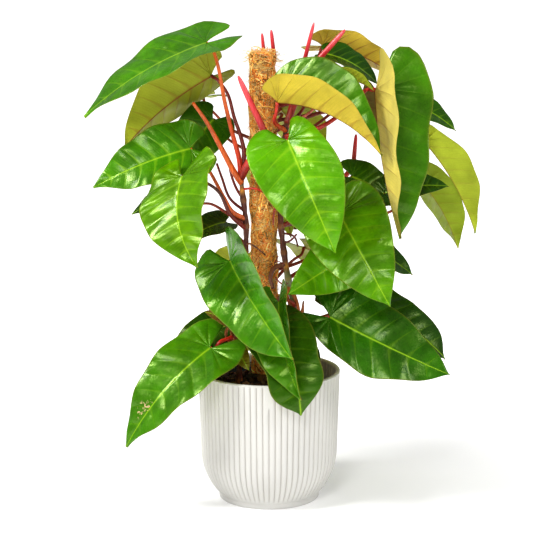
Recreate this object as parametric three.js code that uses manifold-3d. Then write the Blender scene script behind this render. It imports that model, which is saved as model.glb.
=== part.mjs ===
// A potted red emerald philodendron climbing a coir pole.
// Millimetres, +Z up. The origin is the middle of the pot's foot, and -Y is the front.
import * as THREE from 'three';
import { mergeVertices } from 'three/addons/utils/BufferGeometryUtils.js';
import Module from 'manifold-3d';

const wasm = await Module();
wasm.setup();

// Driving dimensions
const GAP = 0.3;
const UP = new THREE.Vector3(0, 0, 1);

const POT = {
  height: 203, rimRadius: 110, shoulderRadius: 106, shoulderHeight: 75,
  footRadius: 78, footHeight: 9, wall: 5.5, floor: 7, ribs: 72, ribDepth: 1.6,
};
const NURSERY = { centre: [-9, -9], rimRadius: 85, footRadius: 56, rimHeight: 195, wall: 2, lip: 3, sides: 32 };
const SOIL = { top: 184, roughness: 3.5, chunks: 7 };
const POLE = { foot: [-5, 6, 30], top: [-10, 6, 694], coreRadius: 12, coirRadius: 21, coirFrom: 196, cap: 9 };
const BLADE = { thickness: 0.9, rows: 10, smallRows: 5, columns: 2, jointShare: 0.6 };
const STALK = {
  sides: 5, stepLength: 28, lastStep: 15, leafEnd: 1.3, endPerLength: 0.006, endReach: 0.8, swell: 1.7,
  lean: 0.5, keelLean: 0.2, steepFold: 40,
};

// Geometry helpers
const point = ([x, y, z]) => new THREE.Vector3(x, y, z);

function geometryFrom(corners, faces) {
  const geometry = new THREE.BufferGeometry();
  geometry.setAttribute('position', new THREE.Float32BufferAttribute(corners.flatMap((p) => [p.x, p.y, p.z]), 3));
  geometry.setIndex(faces.flat());
  return geometry;
}

function solidOf(geometry) {
  const bare = new THREE.BufferGeometry();
  bare.setAttribute('position', geometry.getAttribute('position').clone());
  bare.setIndex(geometry.index ? geometry.index.clone() : null);
  const merged = mergeVertices(bare, 1e-3);
  return new wasm.Manifold(new wasm.Mesh({
    numProp: 3,
    vertProperties: new Float32Array(merged.getAttribute('position').array),
    triVerts: new Uint32Array(merged.index.array),
  }));
}

function geometryOf(solid) {
  const mesh = solid.getMesh();
  const geometry = new THREE.BufferGeometry();
  geometry.setAttribute('position', new THREE.Float32BufferAttribute(mesh.vertProperties, 3));
  geometry.setIndex([...mesh.triVerts]);
  return geometry;
}

const fuse = (solids) => solids.reduce((whole, next) => whole.add(next));

// A closed skin over a grid of points: rings of equal length, with both ends brought to one point.
function closedRings(rings, start, end) {
  const corners = [start, ...rings.flat(), end];
  const across = rings[0].length;
  const faces = [];
  const at = (ring, i) => 1 + ring * across + (i % across);
  for (let i = 0; i < across; i++) faces.push([0, at(0, i + 1), at(0, i)]);
  for (let ring = 0; ring + 1 < rings.length; ring++) {
    for (let i = 0; i < across; i++) {
      faces.push([at(ring, i), at(ring, i + 1), at(ring + 1, i + 1)]);
      faces.push([at(ring, i), at(ring + 1, i + 1), at(ring + 1, i)]);
    }
  }
  const last = rings.length - 1;
  for (let i = 0; i < across; i++) faces.push([corners.length - 1, at(last, i), at(last, i + 1)]);
  return geometryFrom(corners, faces);
}

// A round tube along a smooth path, with a radius that follows t from 0 to 1. Its rings are evenly spaced,
// but for the last, which may be set closer.
function tube(path, radiusAt, sides, steps, lastStep = 0) {
  const curve = new THREE.CatmullRomCurve3(path, false, 'centripetal');
  const even = lastStep ? (1 - lastStep / curve.getLength()) / (steps - 1) : 1 / steps;
  const firstTangent = curve.getTangentAt(0);
  const across = new THREE.Vector3(0, 1, 0).cross(firstTangent);
  const rings = [];
  for (let step = 0; step <= steps; step++) {
    const t = step === steps ? 1 : step * even;
    const centre = curve.getPointAt(t);
    const tangent = curve.getTangentAt(t);
    const radius = radiusAt(t);
    across.projectOnPlane(tangent).normalize();
    const over = tangent.clone().cross(across);
    rings.push(Array.from({ length: sides }, (_, i) => {
      const angle = (2 * Math.PI * i) / sides;
      return centre.clone()
        .addScaledVector(across, radius * Math.cos(angle))
        .addScaledVector(over, radius * Math.sin(angle));
    }));
  }
  return closedRings(rings, curve.getPointAt(0), curve.getPointAt(1));
}

// Pot: thin ribbed wall with a round shoulder over a small plain foot
function potRadius(height) {
  const { footRadius, footHeight, shoulderRadius, shoulderHeight, rimRadius } = POT;
  if (height <= footHeight) return footRadius;
  if (height < shoulderHeight) {
    const rise = (height - footHeight) / (shoulderHeight - footHeight);
    return footRadius + (shoulderRadius - footRadius) * Math.sin((rise * Math.PI) / 2) ** 0.75;
  }
  return THREE.MathUtils.mapLinear(height, shoulderHeight, POT.height, shoulderRadius, rimRadius);
}

function potGeometry() {
  const { height, wall, floor, ribs, ribDepth, footHeight } = POT;
  const outside = [0, footHeight, 18, 38, 76, height];
  const inside = [height, 46, floor];
  const columns = 2 * ribs;
  const ring = (level, offset, ribbed) => Array.from({ length: columns }, (_, i) => {
    const groove = ribbed && i % 2 === 0 ? ribDepth : 0;
    const radius = potRadius(level) - offset - groove;
    const angle = (2 * Math.PI * i) / columns;
    return new THREE.Vector3(radius * Math.cos(angle), radius * Math.sin(angle), level);
  });
  const rings = [
    ...outside.map((level) => ring(level, 0, level > footHeight)),
    ...inside.map((level) => ring(level, wall, level > floor)),
  ];
  return closedRings(rings, new THREE.Vector3(0, 0, 0), new THREE.Vector3(0, 0, floor));
}

// Nursery pot: a plain thin plastic pot with a rolled lip
function nurseryWall(level) {
  const { footRadius, rimRadius, rimHeight } = NURSERY;
  return THREE.MathUtils.mapLinear(level, POT.floor + GAP, rimHeight, footRadius, rimRadius);
}

function nurseryGeometry() {
  const { rimHeight, wall, lip, sides } = NURSERY;
  const foot = POT.floor + GAP;
  const profile = [
    [0, foot], [nurseryWall(foot), foot], [nurseryWall(rimHeight - 12), rimHeight - 12],
    [nurseryWall(rimHeight) + lip, rimHeight - 9], [nurseryWall(rimHeight) + lip, rimHeight],
    [nurseryWall(rimHeight) - wall, rimHeight], [nurseryWall(foot + wall) - wall, foot + wall], [0, foot + wall],
  ];
  const geometry = new THREE.LatheGeometry(profile.map(([r, z]) => new THREE.Vector2(r, z)), sides);
  return geometry.rotateX(Math.PI / 2).translate(...NURSERY.centre, 0);
}

// Pole: a stick wrapped in a lumpy coir sleeve
const poleAxis = new THREE.Line3(point(POLE.foot), point(POLE.top));
const poleTurn = new THREE.Quaternion().setFromUnitVectors(UP, poleAxis.delta(new THREE.Vector3()).normalize());
const poleHeight = (level) => level - POLE.foot[2];

function poleRod(radius, from, to, sides) {
  return new THREE.CylinderGeometry(radius, radius, to - from, sides)
    .rotateX(Math.PI / 2)
    .translate(0, 0, (from + to) / 2);
}

function coirGeometry() {
  const { coirRadius, coirFrom, cap, coreRadius, top } = POLE;
  const columns = 18;
  const rows = 16;
  const from = poleHeight(coirFrom);
  const to = poleHeight(top[2]);
  const rings = [];
  for (let row = 0; row <= rows; row++) {
    const level = THREE.MathUtils.lerp(from, to, row / rows);
    rings.push(Array.from({ length: columns }, (_, i) => {
      const angle = (2 * Math.PI * i) / columns;
      const lumps = 0.7 * Math.sin(3 * angle + level / 17) + 0.6 * Math.sin(5 * angle - level / 11);
      const radius = coirRadius + lumps - (row === rows ? 2.5 : 0);
      return new THREE.Vector3(radius * Math.cos(angle), radius * Math.sin(angle), level);
    }));
  }
  const skin = closedRings(rings, new THREE.Vector3(0, 0, from), new THREE.Vector3(0, 0, to + 2));
  const bore = poleRod(coreRadius + GAP, from - 10, to - cap + GAP, 16);
  return geometryOf(solidOf(skin).subtract(solidOf(bore)));
}

// Climbing stems: [x, y, z] from the bottom of their holes in the soil
const stems = {
  left: [[-46, -24, 150], [-46, -24, 200], [-46, -24, 260], [-41, -20, 340], [-35, -15, 423], [-41, -14, 485],
    [-43, -14, 504]],
  right: [[44, -26, 150], [44, -26, 200], [40, -24, 300], [31, -24, 340], [25, -24, 373], [17, -21, 445],
    [18, -19, 510], [24, -18, 570], [28, -16, 592]],
  back: [[-6, 44, 150], [-6, 44, 250], [-9, 46, 400], [-5, 44, 600], [0, 42, 640]],
};
const STEM = { radius: 5.2, sides: 6, node: 40, nodeSwell: 0.18 };

const stemCurves = Object.fromEntries(Object.entries(stems).map(
  ([name, path]) => [name, new THREE.CatmullRomCurve3(path.map(point), false, 'centripetal')],
));

function stemPointAt(name, level) {
  const curve = stemCurves[name];
  let low = 0;
  let high = 1;
  for (let i = 0; i < 24; i++) {
    const middle = (low + high) / 2;
    if (curve.getPoint(middle).z < level) low = middle;
    else high = middle;
  }
  return curve.getPoint(low);
}

function stemGeometry(name) {
  const { radius, sides, node, nodeSwell } = STEM;
  const path = stems[name].map(point);
  const rise = path.at(-1).z - path[0].z;
  const steps = Math.round(rise / (node / 2));
  const swell = (t) => radius * (1 - 0.2 * t + nodeSwell * Math.cos((2 * Math.PI * t * rise) / node));
  return tube(path, swell, sides, steps);
}

// Half outline of a flat blade: along the midrib from the joint (0) to the tip (1), and out from it.
// The two rounded lobes lie behind the joint.
const outline = new THREE.SplineCurve([
  [1, 0], [0.96, 0.02], [0.89, 0.075], [0.77, 0.15], [0.62, 0.22], [0.45, 0.275], [0.28, 0.308], [0.12, 0.32],
  [-0.02, 0.31], [-0.14, 0.28], [-0.24, 0.225], [-0.29, 0.16], [-0.26, 0.105],
].map(([u, v]) => new THREE.Vector2(u, v)));

// Leaf blades. joint: where the stalk meets the blade; tip: its point; face: the way the upper side looks.
// fold: how far the right and left halves rise from flat, in degrees; bow: the midrib's arch, sweep: its
// curve to the right, wave: the margin's waves, all against the blade's length.
// lobe: how long the lobes are; cheek: how wide the right and left halves are near them;
// blunt: how much wider than the outline the blade is near its tip.
// small: a blade with fewer rows of faces.
// stalk: the stem it grows from, the height of its foot there, and points that it passes.
const leaves = {
  top_left: {
    joint: [-94, -15, 706], tip: [-274, -60, 600], face: [-0.33, -0.42, 0.85], width: 0.9, fold: [5, 8],
    bow: 0.045, sweep: 0.03, lobe: 0.8, cheek: [1.1, 0.9],
    stalk: ['left', 500, [-45, -20, 531], [-55, -19, 570], [-67, -16, 620], [-77, -14, 674]],
  },
  top_left_under: {
    joint: [-87, 25, 654], tip: [-222, 5, 544], face: [-0.4, 0.8, 0.4], width: 1.12, fold: [25, 25], bow: 0.08,
    lobe: 0.65, cheek: [0.7, 0.95],
    stalk: ['left', 502, [-38, -6, 540], [-44, 4, 567], [-53, 12, 592], [-63, 20, 627]],
  },
  mid_left: {
    joint: [-118, -35, 550], tip: [-262, -60, 494], face: [-0.1, -0.8, 0.5], fold: [12, 10], bow: 0.08,
    lobe: 0.7, cheek: [1, 1.1], wave: 0.02,
    stalk: ['left', 440, [-56, -22, 453], [-68, -26, 474], [-92, -26, 518]],
  },
  hanging_left: {
    joint: [-127, -100, 518], tip: [-103, -170, 394], face: [-0.5, -0.8, 0.4], width: 1.35, fold: [15, 12],
    bow: 0.1, sweep: 0.08, lobe: 0.8, cheek: [0.8, 1], wave: 0.03,
    stalk: ['left', 425, [-58, -36, 450], [-75, -52, 487], [-98, -72, 506]],
  },
  behind_left: {
    joint: [-127, -20, 473], tip: [-207, -35, 450], face: [-0.3, -0.6, 0.7], fold: [12, 12], bow: 0.1,
    stalk: ['left', 432, [-60, -6, 445], [-90, -4, 462]],
  },
  small_left: {
    joint: [-66, 5, 432], tip: [-135, -30, 401], face: [-0.1, -0.6, 0.8], fold: [12, 12], bow: 0.1, lobe: 0.5,
    stalk: ['left', 400, [-48, -8, 412]],
  },
  back_left: {
    joint: [-86, 60, 584], tip: [-146, 54, 498], face: [-0.1, -0.9, 0.4], width: 1.25, fold: [10, 10], bow: 0.12,
    lobe: 0.6,
    stalk: ['back', 520, [-30, 70, 532], [-66, 88, 552]],
  },
  front_low: {
    joint: [-58, -75, 387], tip: [34, -172, 259], face: [-0.3, -0.9, 0.2], width: 1.05, fold: [10, 45],
    bow: 0.1, lobe: 0.85, wave: 0.02, blunt: 0.5,
    stalk: ['left', 330, [-50, -34, 350], [-54, -54, 376]],
  },
  low_left: {
    joint: [-89, -65, 251], tip: [-215, -105, 107], face: [-0.35, -0.8, 0.5], width: 0.84, fold: [10, 10],
    bow: 0.12, lobe: 0.84, cheek: [0.95, 1.1], wave: 0.02,
    stalk: ['left', 264, [-60, -38, 260], [-76, -50, 256]],
  },
  low_left_behind: {
    joint: [-82, -4, 267], tip: [-167, -35, 186], face: [-0.2, -0.9, 0.5], width: 0.9, fold: [12, 12], bow: 0.1,
    lobe: 0.7,
    stalk: ['left', 236, [-58, -8, 250]],
  },
  tiny_left: {
    joint: [-60, -38, 286], tip: [-98, -44, 302], face: [0.4, -0.8, 0.5], fold: [15, 15], bow: 0.1, lobe: 0.5,
    small: true,
    stalk: ['left', 276, [-52, -30, 282]],
  },
  low_middle: {
    joint: [15, -88, 327], tip: [48, -148, 191], face: [-0.6, -0.8, 0.2], fold: [35, 40], bow: 0.1, lobe: 0.7,
    stalk: ['right', 300, [36, -44, 316], [24, -66, 326]],
  },
  over_rim: {
    joint: [0, -60, 288], tip: [47, -132, 163], face: [-0.1, -0.9, 0.5], width: 1.08, fold: [10, 10], bow: 0.16,
    sweep: -0.08, lobe: 0.7, blunt: 1,
    stalk: ['right', 250, [28, -36, 264], [10, -46, 278]],
  },
  small_right: {
    joint: [58, -44, 270], tip: [84, -46, 276], face: [-0.4, -0.8, 0.5], fold: [10, 10], bow: 0.1, small: true,
    stalk: ['right', 240, [50, -38, 252]],
  },
  low_right: {
    joint: [92, -50, 295], tip: [274, -85, 213], face: [0.1, -0.85, 0.5], width: 1.02, fold: [4, 6], bow: 0.05,
    sweep: 0.03, lobe: 0.8, cheek: [0.6, 1], wave: 0.02,
    stalk: ['right', 256, [54, -28, 262], [72, -22, 276]],
  },
  low_right_behind: {
    joint: [130, 45, 304], tip: [276, 20, 212], face: [0.4, -0.6, 0.7], width: 0.9, fold: [8, 8], bow: 0.1,
    blunt: 0.7,
    stalk: ['right', 276, [60, 0, 278], [96, 34, 282]],
  },
  cupped_right: {
    joint: [127, 0, 387], tip: [27, -75, 335], face: [0.4, -0.8, 0.4], width: 1.1, fold: [8, 8], bow: 0.08,
    lobe: 0.7,
    stalk: ['right', 350, [60, 4, 364], [95, 12, 378]],
  },
  centre_right: {
    joint: [106, -45, 453], tip: [178, -125, 327], face: [-0.2, -0.9, 0.4], width: 1.2, fold: [4, 6], bow: 0.1,
    lobe: 0.9, cheek: [1, 1.08], wave: 0.02,
    stalk: ['right', 430, [45, -12, 440], [76, -16, 448]],
  },
  front_centre: {
    joint: [27, -80, 568], tip: [97, -135, 408], face: [-0.1, -1.0, 0.3], width: 1.15, fold: [8, 8], bow: 0.1,
    lobe: 0.6, cheek: [1, 0.68], wave: 0.015,
    stalk: ['right', 520, [20, -34, 534], [22, -52, 550]],
  },
  top_centre: {
    joint: [12, -50, 621], tip: [166, -90, 545], face: [0.3, -0.3, 0.9], width: 1.38, fold: [56, 62], bow: 0.12,
    lobe: 0.5,
    stalk: ['right', 575, [8, -34, 590]],
  },
  top_right: {
    joint: [81, 55, 697], tip: [206, 80, 640], face: [0.1, 0.6, 0.8], width: 0.85, fold: [20, 20], bow: 0.1,
    lobe: 0.7,
    stalk: ['right', 588, [36, 2, 612], [56, 30, 664]],
  },
  right_folded: {
    joint: [159, -20, 637], tip: [196, -55, 415], face: [0.8, -0.6, 0.2], width: 1.16, fold: [54, 50], bow: 0,
    sweep: 0.055, lobe: 0.9,
    stalk: ['right', 566, [70, -22, 578], [96, -20, 592], [130, -24, 622]],
  },
  far_right_tip: {
    joint: [206, 60, 610], tip: [287, 40, 568], face: [0.3, -0.6, 0.7], fold: [10, 10], bow: 0.1,
    stalk: ['back', 580, [60, 66, 590], [140, 72, 600]],
  },
  far_right: {
    joint: [236, 15, 556], tip: [315, -5, 416], face: [0.7, 0.6, 0.3], width: 0.92, fold: [38, 50], bow: 0.07,
    lobe: 0.7, cheek: [0.6, 0.9],
    stalk: ['back', 560, [60, 45, 590], [150, 38, 610], [200, 28, 590]],
  },
  far_right_low: {
    joint: [237, 48, 487], tip: [294, 44, 384], face: [0.7, 0.7, 0.3], width: 1.2, fold: [20, 20], bow: 0.08,
    stalk: ['back', 415, [60, 56, 424], [150, 48, 428], [214, 30, 462]],
  },
  right_point: {
    joint: [177, 5, 477], tip: [274, -10, 489], face: [-0.2, -0.7, 0.7], fold: [14, 14], bow: 0.1,
    stalk: ['right', 470, [60, 4, 474], [120, 12, 472]],
  },
  right_inner: {
    joint: [128, 50, 496], tip: [201, 55, 449], face: [0.4, -0.8, 0.5], width: 1.2, fold: [8, 8], bow: 0.1,
    stalk: ['right', 476, [60, 24, 484], [100, 42, 488]],
  },
  top_right_dark: {
    joint: [86, 22, 687], tip: [165, 10, 641], face: [0.4, -0.5, 0.8], width: 1.1, fold: [14, 14], bow: 0.1,
    lobe: 0.5,
    stalk: ['right', 582, [50, 6, 604], [72, 16, 662]],
  },
  top_inner: {
    joint: [102, -42, 656], tip: [155, -48, 637], face: [0.4, -0.1, 0.9], width: 1.2, fold: [60, 50], bow: 0.1,
    lobe: 0.6,
    stalk: ['right', 580, [62, -20, 604], [84, -28, 630]],
  },
  brown: {
    joint: [140, 8, 628], tip: [171, -2, 544], face: [-0.5, 0.8, -0.3], width: 1.1, fold: [10, 10], bow: 0.08,
    lobe: 0.6, small: true,
    stalk: ['right', 560, [60, -10, 576], [108, -14, 612]],
  },
  rim_left: {
    joint: [-47, -50, 244], tip: [-30, -72, 217], face: [-0.2, -0.8, 0.5], width: 1.1, fold: [10, 10], bow: 0.1,
    small: true,
    stalk: ['left', 222, [-47, -36, 230]],
  },
  rim_right: {
    joint: [60, -42, 242], tip: [76, -62, 212], face: [-0.2, -0.9, 0.5], width: 1.2, fold: [10, 10], bow: 0.1,
    small: true,
    stalk: ['right', 215, [50, -30, 226]],
  },
  back_top: {
    joint: [-104, 116, 614], tip: [-196, 170, 552], face: [-0.3, 0.5, 0.8], fold: [14, 14], bow: 0.12, wave: 0.02,
    stalk: ['back', 545, [-24, 64, 552], [-62, 100, 566], [-88, 114, 590]],
  },
  back_high_right: {
    joint: [18, 100, 597], tip: [63, 180, 449], face: [0.4, 0.6, 0.7], fold: [14, 14], bow: 0.12, wave: 0.02,
    stalk: ['back', 550, [6, 62, 570], [20, 84, 590]],
  },
  back_middle: {
    joint: [9, 105, 503], tip: [37, 190, 375], face: [-0.1, 0.8, 0.5], fold: [12, 12], bow: 0.12, wave: 0.02,
    stalk: ['back', 450, [-4, 62, 464], [4, 84, 486]],
  },
  back_right: {
    joint: [111, 90, 388], tip: [230, 110, 328], face: [0.3, -0.6, 0.7], fold: [10, 10], bow: 0.1,
    stalk: ['back', 345, [40, 62, 356], [84, 82, 372]],
  },
  back_left_low: {
    joint: [-49, 80, 356], tip: [-77, 150, 222], face: [-0.2, 0.8, 0.6], fold: [12, 12], bow: 0.12, wave: 0.02,
    stalk: ['back', 310, [-20, 58, 330], [-38, 68, 346]],
  },
  back_right_low: {
    joint: [56, 105, 376], tip: [126, 185, 266], face: [0.3, 0.7, 0.6], fold: [12, 12], bow: 0.12, wave: 0.02,
    stalk: ['back', 318, [14, 64, 336], [38, 86, 358]],
  },
  back_over_rim: {
    joint: [-20, 90, 290], tip: [-40, 165, 180], face: [-0.1, 0.8, 0.6], fold: [12, 12], bow: 0.14, wave: 0.02,
    stalk: ['back', 250, [-12, 62, 266], [-18, 76, 278]],
  },
};

// The blade's surface. along: 1 at the tip, 0 at the joint; out: across from the midrib; side: 1 right, -1 left.
function bladeSurface(leaf) {
  const { width = 1, fold, bow, sweep = 0, lobe = 1, cheek = [1, 1], blunt = 0 } = leaf;
  const joint = point(leaf.joint);
  const axis = point(leaf.tip).sub(joint);
  const length = axis.length();
  axis.normalize();
  const normal = point(leaf.face).projectOnPlane(axis).normalize();
  const right = axis.clone().cross(normal);
  const place = (along, out, side, lift = 0) => {
    const half = side > 0 ? 0 : 1;
    const u = along < 0 ? along * lobe : along;
    const angle = THREE.MathUtils.degToRad(fold[half]);
    const nearLobe = 1 - THREE.MathUtils.smoothstep(along, -0.1, 0.5);
    const nearTip = THREE.MathUtils.smoothstep(along, 0.5, 0.95);
    const across = out * width * THREE.MathUtils.lerp(1, cheek[half], nearLobe) * (1 + blunt * nearTip);
    const curve = 4 * u * (u > 0 ? 1 - u : 1);
    return joint.clone()
      .addScaledVector(axis, length * u)
      .addScaledVector(right, length * (side * across * Math.cos(angle) + sweep * curve))
      .addScaledVector(normal, length * (bow * curve + across * Math.sin(angle) + lift));
  };
  return { place, length };
}

function surfaceNormal(place, along, out, side) {
  const step = 0.01;
  const forward = place(along + step, out, side).sub(place(along - step, out, side));
  const outward = place(along, out + step, side).sub(place(along, out, side));
  return outward.cross(forward).multiplyScalar(side).normalize();
}

function bladeGeometry(leaf) {
  const { thickness, columns, jointShare } = BLADE;
  const { wave = 0.01 } = leaf;
  const rows = leaf.small ? BLADE.smallRows : BLADE.rows;
  const { place } = bladeSurface(leaf);
  const corners = [];
  const faces = [];
  const grids = [1, -1].map((side) => {
    const grid = [];
    for (let row = 0; row <= rows; row++) {
      const margin = outline.getPointAt(row / rows);
      const spine = Math.max(0, 1 - row / rows / jointShare);
      grid.push(Array.from({ length: columns + 1 }, (_, column) => {
        const share = column / columns;
        const along = THREE.MathUtils.lerp(spine, margin.x, share);
        const out = margin.y * share;
        const onSpine = out < 1e-6;
        const ripple = onSpine ? 0 : wave * Math.sin((24 * row) / rows + side) * share * share;
        const middle = place(along, out, side, ripple);
        const normal = onSpine
          ? surfaceNormal(place, along, 0, 1).add(surfaceNormal(place, along, 0, -1)).normalize()
          : surfaceNormal(place, along, out, side);
        corners.push(middle.clone().addScaledVector(normal, thickness / 2));
        corners.push(middle.clone().addScaledVector(normal, -thickness / 2));
        return corners.length - 2;
      }));
    }
    return { side, grid };
  });
  const triangle = (side, a, b, c) => {
    const all = [corners[a], corners[b], corners[c]];
    if (all.some((corner, i) => corner.distanceTo(all[(i + 1) % 3]) < 1e-3)) return;
    faces.push(side > 0 ? [a, c, b] : [a, b, c]);
  };
  for (const { side, grid } of grids) {
    for (let row = 0; row < rows; row++) {
      for (let column = 0; column < columns; column++) {
        const [a, b] = [grid[row][column], grid[row][column + 1]];
        const [d, c] = [grid[row + 1][column], grid[row + 1][column + 1]];
        triangle(side, a, b, c);
        triangle(side, a, c, d);
        triangle(side, a + 1, c + 1, b + 1);
        triangle(side, a + 1, d + 1, c + 1);
      }
    }
    const border = [...grid.map((line) => line[columns]), ...grid[rows].slice(0, columns).reverse()];
    for (let i = 0; i + 1 < border.length; i++) {
      const [a, b] = [border[i], border[i + 1]];
      triangle(side, a, a + 1, b + 1);
      triangle(side, a, b + 1, b);
    }
  }
  return geometryFrom(corners, faces);
}

const pathLength = (path) => path.reduce((sum, p, i) => (i ? sum + p.distanceTo(path[i - 1]) : 0), 0);

// Leaf stalks: from the middle of the stem, past the given points, to just under the blade's joint
function stalkGeometry(leaf) {
  const [stem, height, ...via] = leaf.stalk;
  const { place, length } = bladeSurface(leaf);
  const normal = surfaceNormal(place, 0, 0, 1).add(surfaceNormal(place, 0, 0, -1)).normalize();
  const midrib = place(0.02, 0, 1).sub(place(0, 0, 1)).normalize();
  const endRadius = STALK.leafEnd + STALK.endPerLength * length;
  const lean = Math.min(...leaf.fold) > STALK.steepFold ? STALK.keelLean : STALK.lean;
  const arrival = normal.clone().addScaledVector(midrib, lean).normalize();
  const tilt = Math.sqrt(1 - arrival.dot(normal) ** 2);
  const clear = BLADE.thickness / 2 + GAP + endRadius * tilt * STALK.endReach;
  const end = point(leaf.joint).addScaledVector(normal, -clear);
  const lastStretch = [1, 0.5, 0].map((share) => end.clone().addScaledVector(arrival, -STALK.lastStep * share));
  const path = [stemPointAt(stem, height), ...via.map(point), ...lastStretch];
  const steps = Math.max(5, Math.round(pathLength(path) / STALK.stepLength));
  const taper = (t) => endRadius * (1 + (STALK.swell - 1) * (1 - t) ** 2);
  return tube(path, taper, STALK.sides, steps, STALK.lastStep);
}

// New leaves, still rolled in their red sheaths: a stalk from the stem and the sheath that goes on from it
const spikes = {
  left_front: {
    stalk: ['left', 503, [-30, -36, 530]], from: [-6, -46, 574], to: [-46, -50, 660], radius: 5.6,
  },
  pole_left: { stalk: ['back', 632, [-12, 38, 660]], from: [-8, 34, 688], to: [-11, 32, 718], radius: 3.2 },
  pole_right: { stalk: ['back', 636, [4, 38, 665]], from: [7, 36, 686], to: [3, 34, 723], radius: 3.6 },
  right_tall: { stalk: ['right', 590, [40, -6, 636]], from: [52, -4, 676], to: [67, -4, 736], radius: 3.6 },
  right_thick: { stalk: ['right', 586, [44, -12, 632]], from: [64, -15, 671], to: [113, -18, 726], radius: 5 },
  back_small: { stalk: ['back', 600, [90, 50, 630]], from: [134, 52, 656], to: [138, 52, 676], radius: 3.6 },
  back_low: {
    stalk: ['back', 430, [60, 76, 450], [110, 86, 482]], from: [133, 88, 519], to: [136, 88, 558], radius: 4,
  },
};

function spikeStalkGeometry(spike) {
  const [stem, height, ...via] = spike.stalk;
  const heading = point(spike.to).sub(point(spike.from)).normalize();
  const end = point(spike.from).addScaledVector(heading, -GAP);
  const path = [stemPointAt(stem, height), ...via.map(point), end.clone().addScaledVector(heading, -8), end];
  const steps = Math.max(4, Math.round(pathLength(path) / STALK.stepLength));
  return tube(path, (t) => spike.radius * (1.1 - 0.1 * t), STALK.sides + 1, steps);
}

function spikeGeometry(spike) {
  const from = point(spike.from);
  const to = point(spike.to);
  const taper = (t) => spike.radius * (1 - 0.35 * t - 0.45 * t ** 8);
  return tube([from, from.clone().lerp(to, 0.5), to], taper, STALK.sides + 1, 6);
}

// Aerial roots, dried sheaths and one bare old stalk: [stem, height, points...], with a radius at foot and end
const strands = [
  { on: ['left', 486, [-20, -24, 488], [-8, -24, 482]], foot: 1.8, end: 1.4 },
  { on: ['left', 496, [-51, -22, 510], [-72, -20, 549], [-95, -12, 589], [-115, -4, 616]], foot: 5, end: 2.4 },
  { on: ['right', 336, [16, -24, 344], [10, -22, 352]], foot: 1.8, end: 1 },
  { on: ['right', 470, [8, -24, 455], [6, -22, 432]], foot: 1.8, end: 1.2 },
  { on: ['left', 250, [-56, -34, 262], [-60, -30, 276]], foot: 5, end: 1.2 },
  { on: ['left', 236, [-50, -40, 244], [-54, -46, 262]], foot: 5, end: 1.2 },
  { on: ['right', 290, [50, -36, 300], [52, -40, 318]], foot: 5, end: 1.2 },
  { on: ['right', 300, [32, -36, 306], [30, -40, 322]], foot: 5, end: 1.2 },
];

function strandGeometry({ on: [stem, height, ...via], foot, end }) {
  const path = [stemPointAt(stem, height), ...via.map(point)];
  return tube(path, (t) => THREE.MathUtils.lerp(foot, end, t), STALK.sides, 4);
}

// Soil: a bumpy fill of the nursery pot, with chunks of bark and plain holes for the pole and the stems
function soilGeometry() {
  const { top, roughness, chunks } = SOIL;
  const [x, y] = NURSERY.centre;
  const columns = 20;
  const clear = NURSERY.wall + GAP;
  const foot = POT.floor + clear + GAP;
  const ring = (share, level, bumpy) => Array.from({ length: columns }, (_, i) => {
    const angle = (2 * Math.PI * i) / columns;
    const radius = share * (nurseryWall(level) - clear) * 0.996;
    const bump = bumpy ? roughness * Math.sin(7 * angle + 9 * share) * Math.cos(4 * angle - 5 * share) : 0;
    return new THREE.Vector3(x + radius * Math.cos(angle), y + radius * Math.sin(angle), level + bump);
  });
  const rings = [ring(1, foot, false), ring(1, top - 8, false), ring(0.85, top, true), ring(0.45, top + 2, true)];
  let fill = solidOf(closedRings(rings, new THREE.Vector3(x, y, foot), new THREE.Vector3(x, y, top + 2)));
  for (let i = 0; i < chunks; i++) {
    const angle = 2.4 * i + 3.6;
    const chunk = new THREE.BoxGeometry(16 - (i % 3) * 3, 11, 9)
      .rotateX(0.5 * i)
      .rotateZ(1.7 * i)
      .translate(x + 66 * Math.cos(angle), y + 66 * Math.sin(angle), top);
    fill = fill.add(solidOf(chunk));
  }
  const poleHole = poleRod(POLE.coreRadius + GAP, -GAP, poleHeight(top + 30), 16).applyQuaternion(poleTurn);
  fill = fill.subtract(solidOf(poleHole.translate(...POLE.foot)));
  for (const path of Object.values(stems)) {
    const [hx, hy, hz] = path[0];
    const hole = new THREE.CylinderGeometry(STEM.radius + 2.5, STEM.radius + 2.5, top + 30 - hz, 10)
      .rotateX(Math.PI / 2)
      .translate(hx, hy, (hz - GAP + top + 30) / 2);
    fill = fill.subtract(solidOf(hole));
  }
  return geometryOf(fill);
}

// The plant
const plant = new THREE.Group();

function add(name, geometry, colour, roughness, group = plant) {
  const material = new THREE.MeshStandardMaterial({ color: colour, roughness, metalness: 0 });
  const mesh = new THREE.Mesh(geometry, material);
  mesh.name = name;
  group.add(mesh);
}

add('pot', potGeometry(), 0xebe8e2, 0.6);
add('nursery_pot', nurseryGeometry(), 0x16222e, 0.5);
add('soil', soilGeometry(), 0x3d2a1e, 0.95);

const pole = new THREE.Group();
pole.position.fromArray(POLE.foot);
pole.quaternion.copy(poleTurn);
plant.add(pole);
add('pole_core', poleRod(POLE.coreRadius, 0, poleHeight(POLE.top[2]) - POLE.cap, 16), 0x8a6a45, 0.8, pole);
add('coir_wrap', coirGeometry(), 0xb5803f, 0.95, pole);

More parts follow.
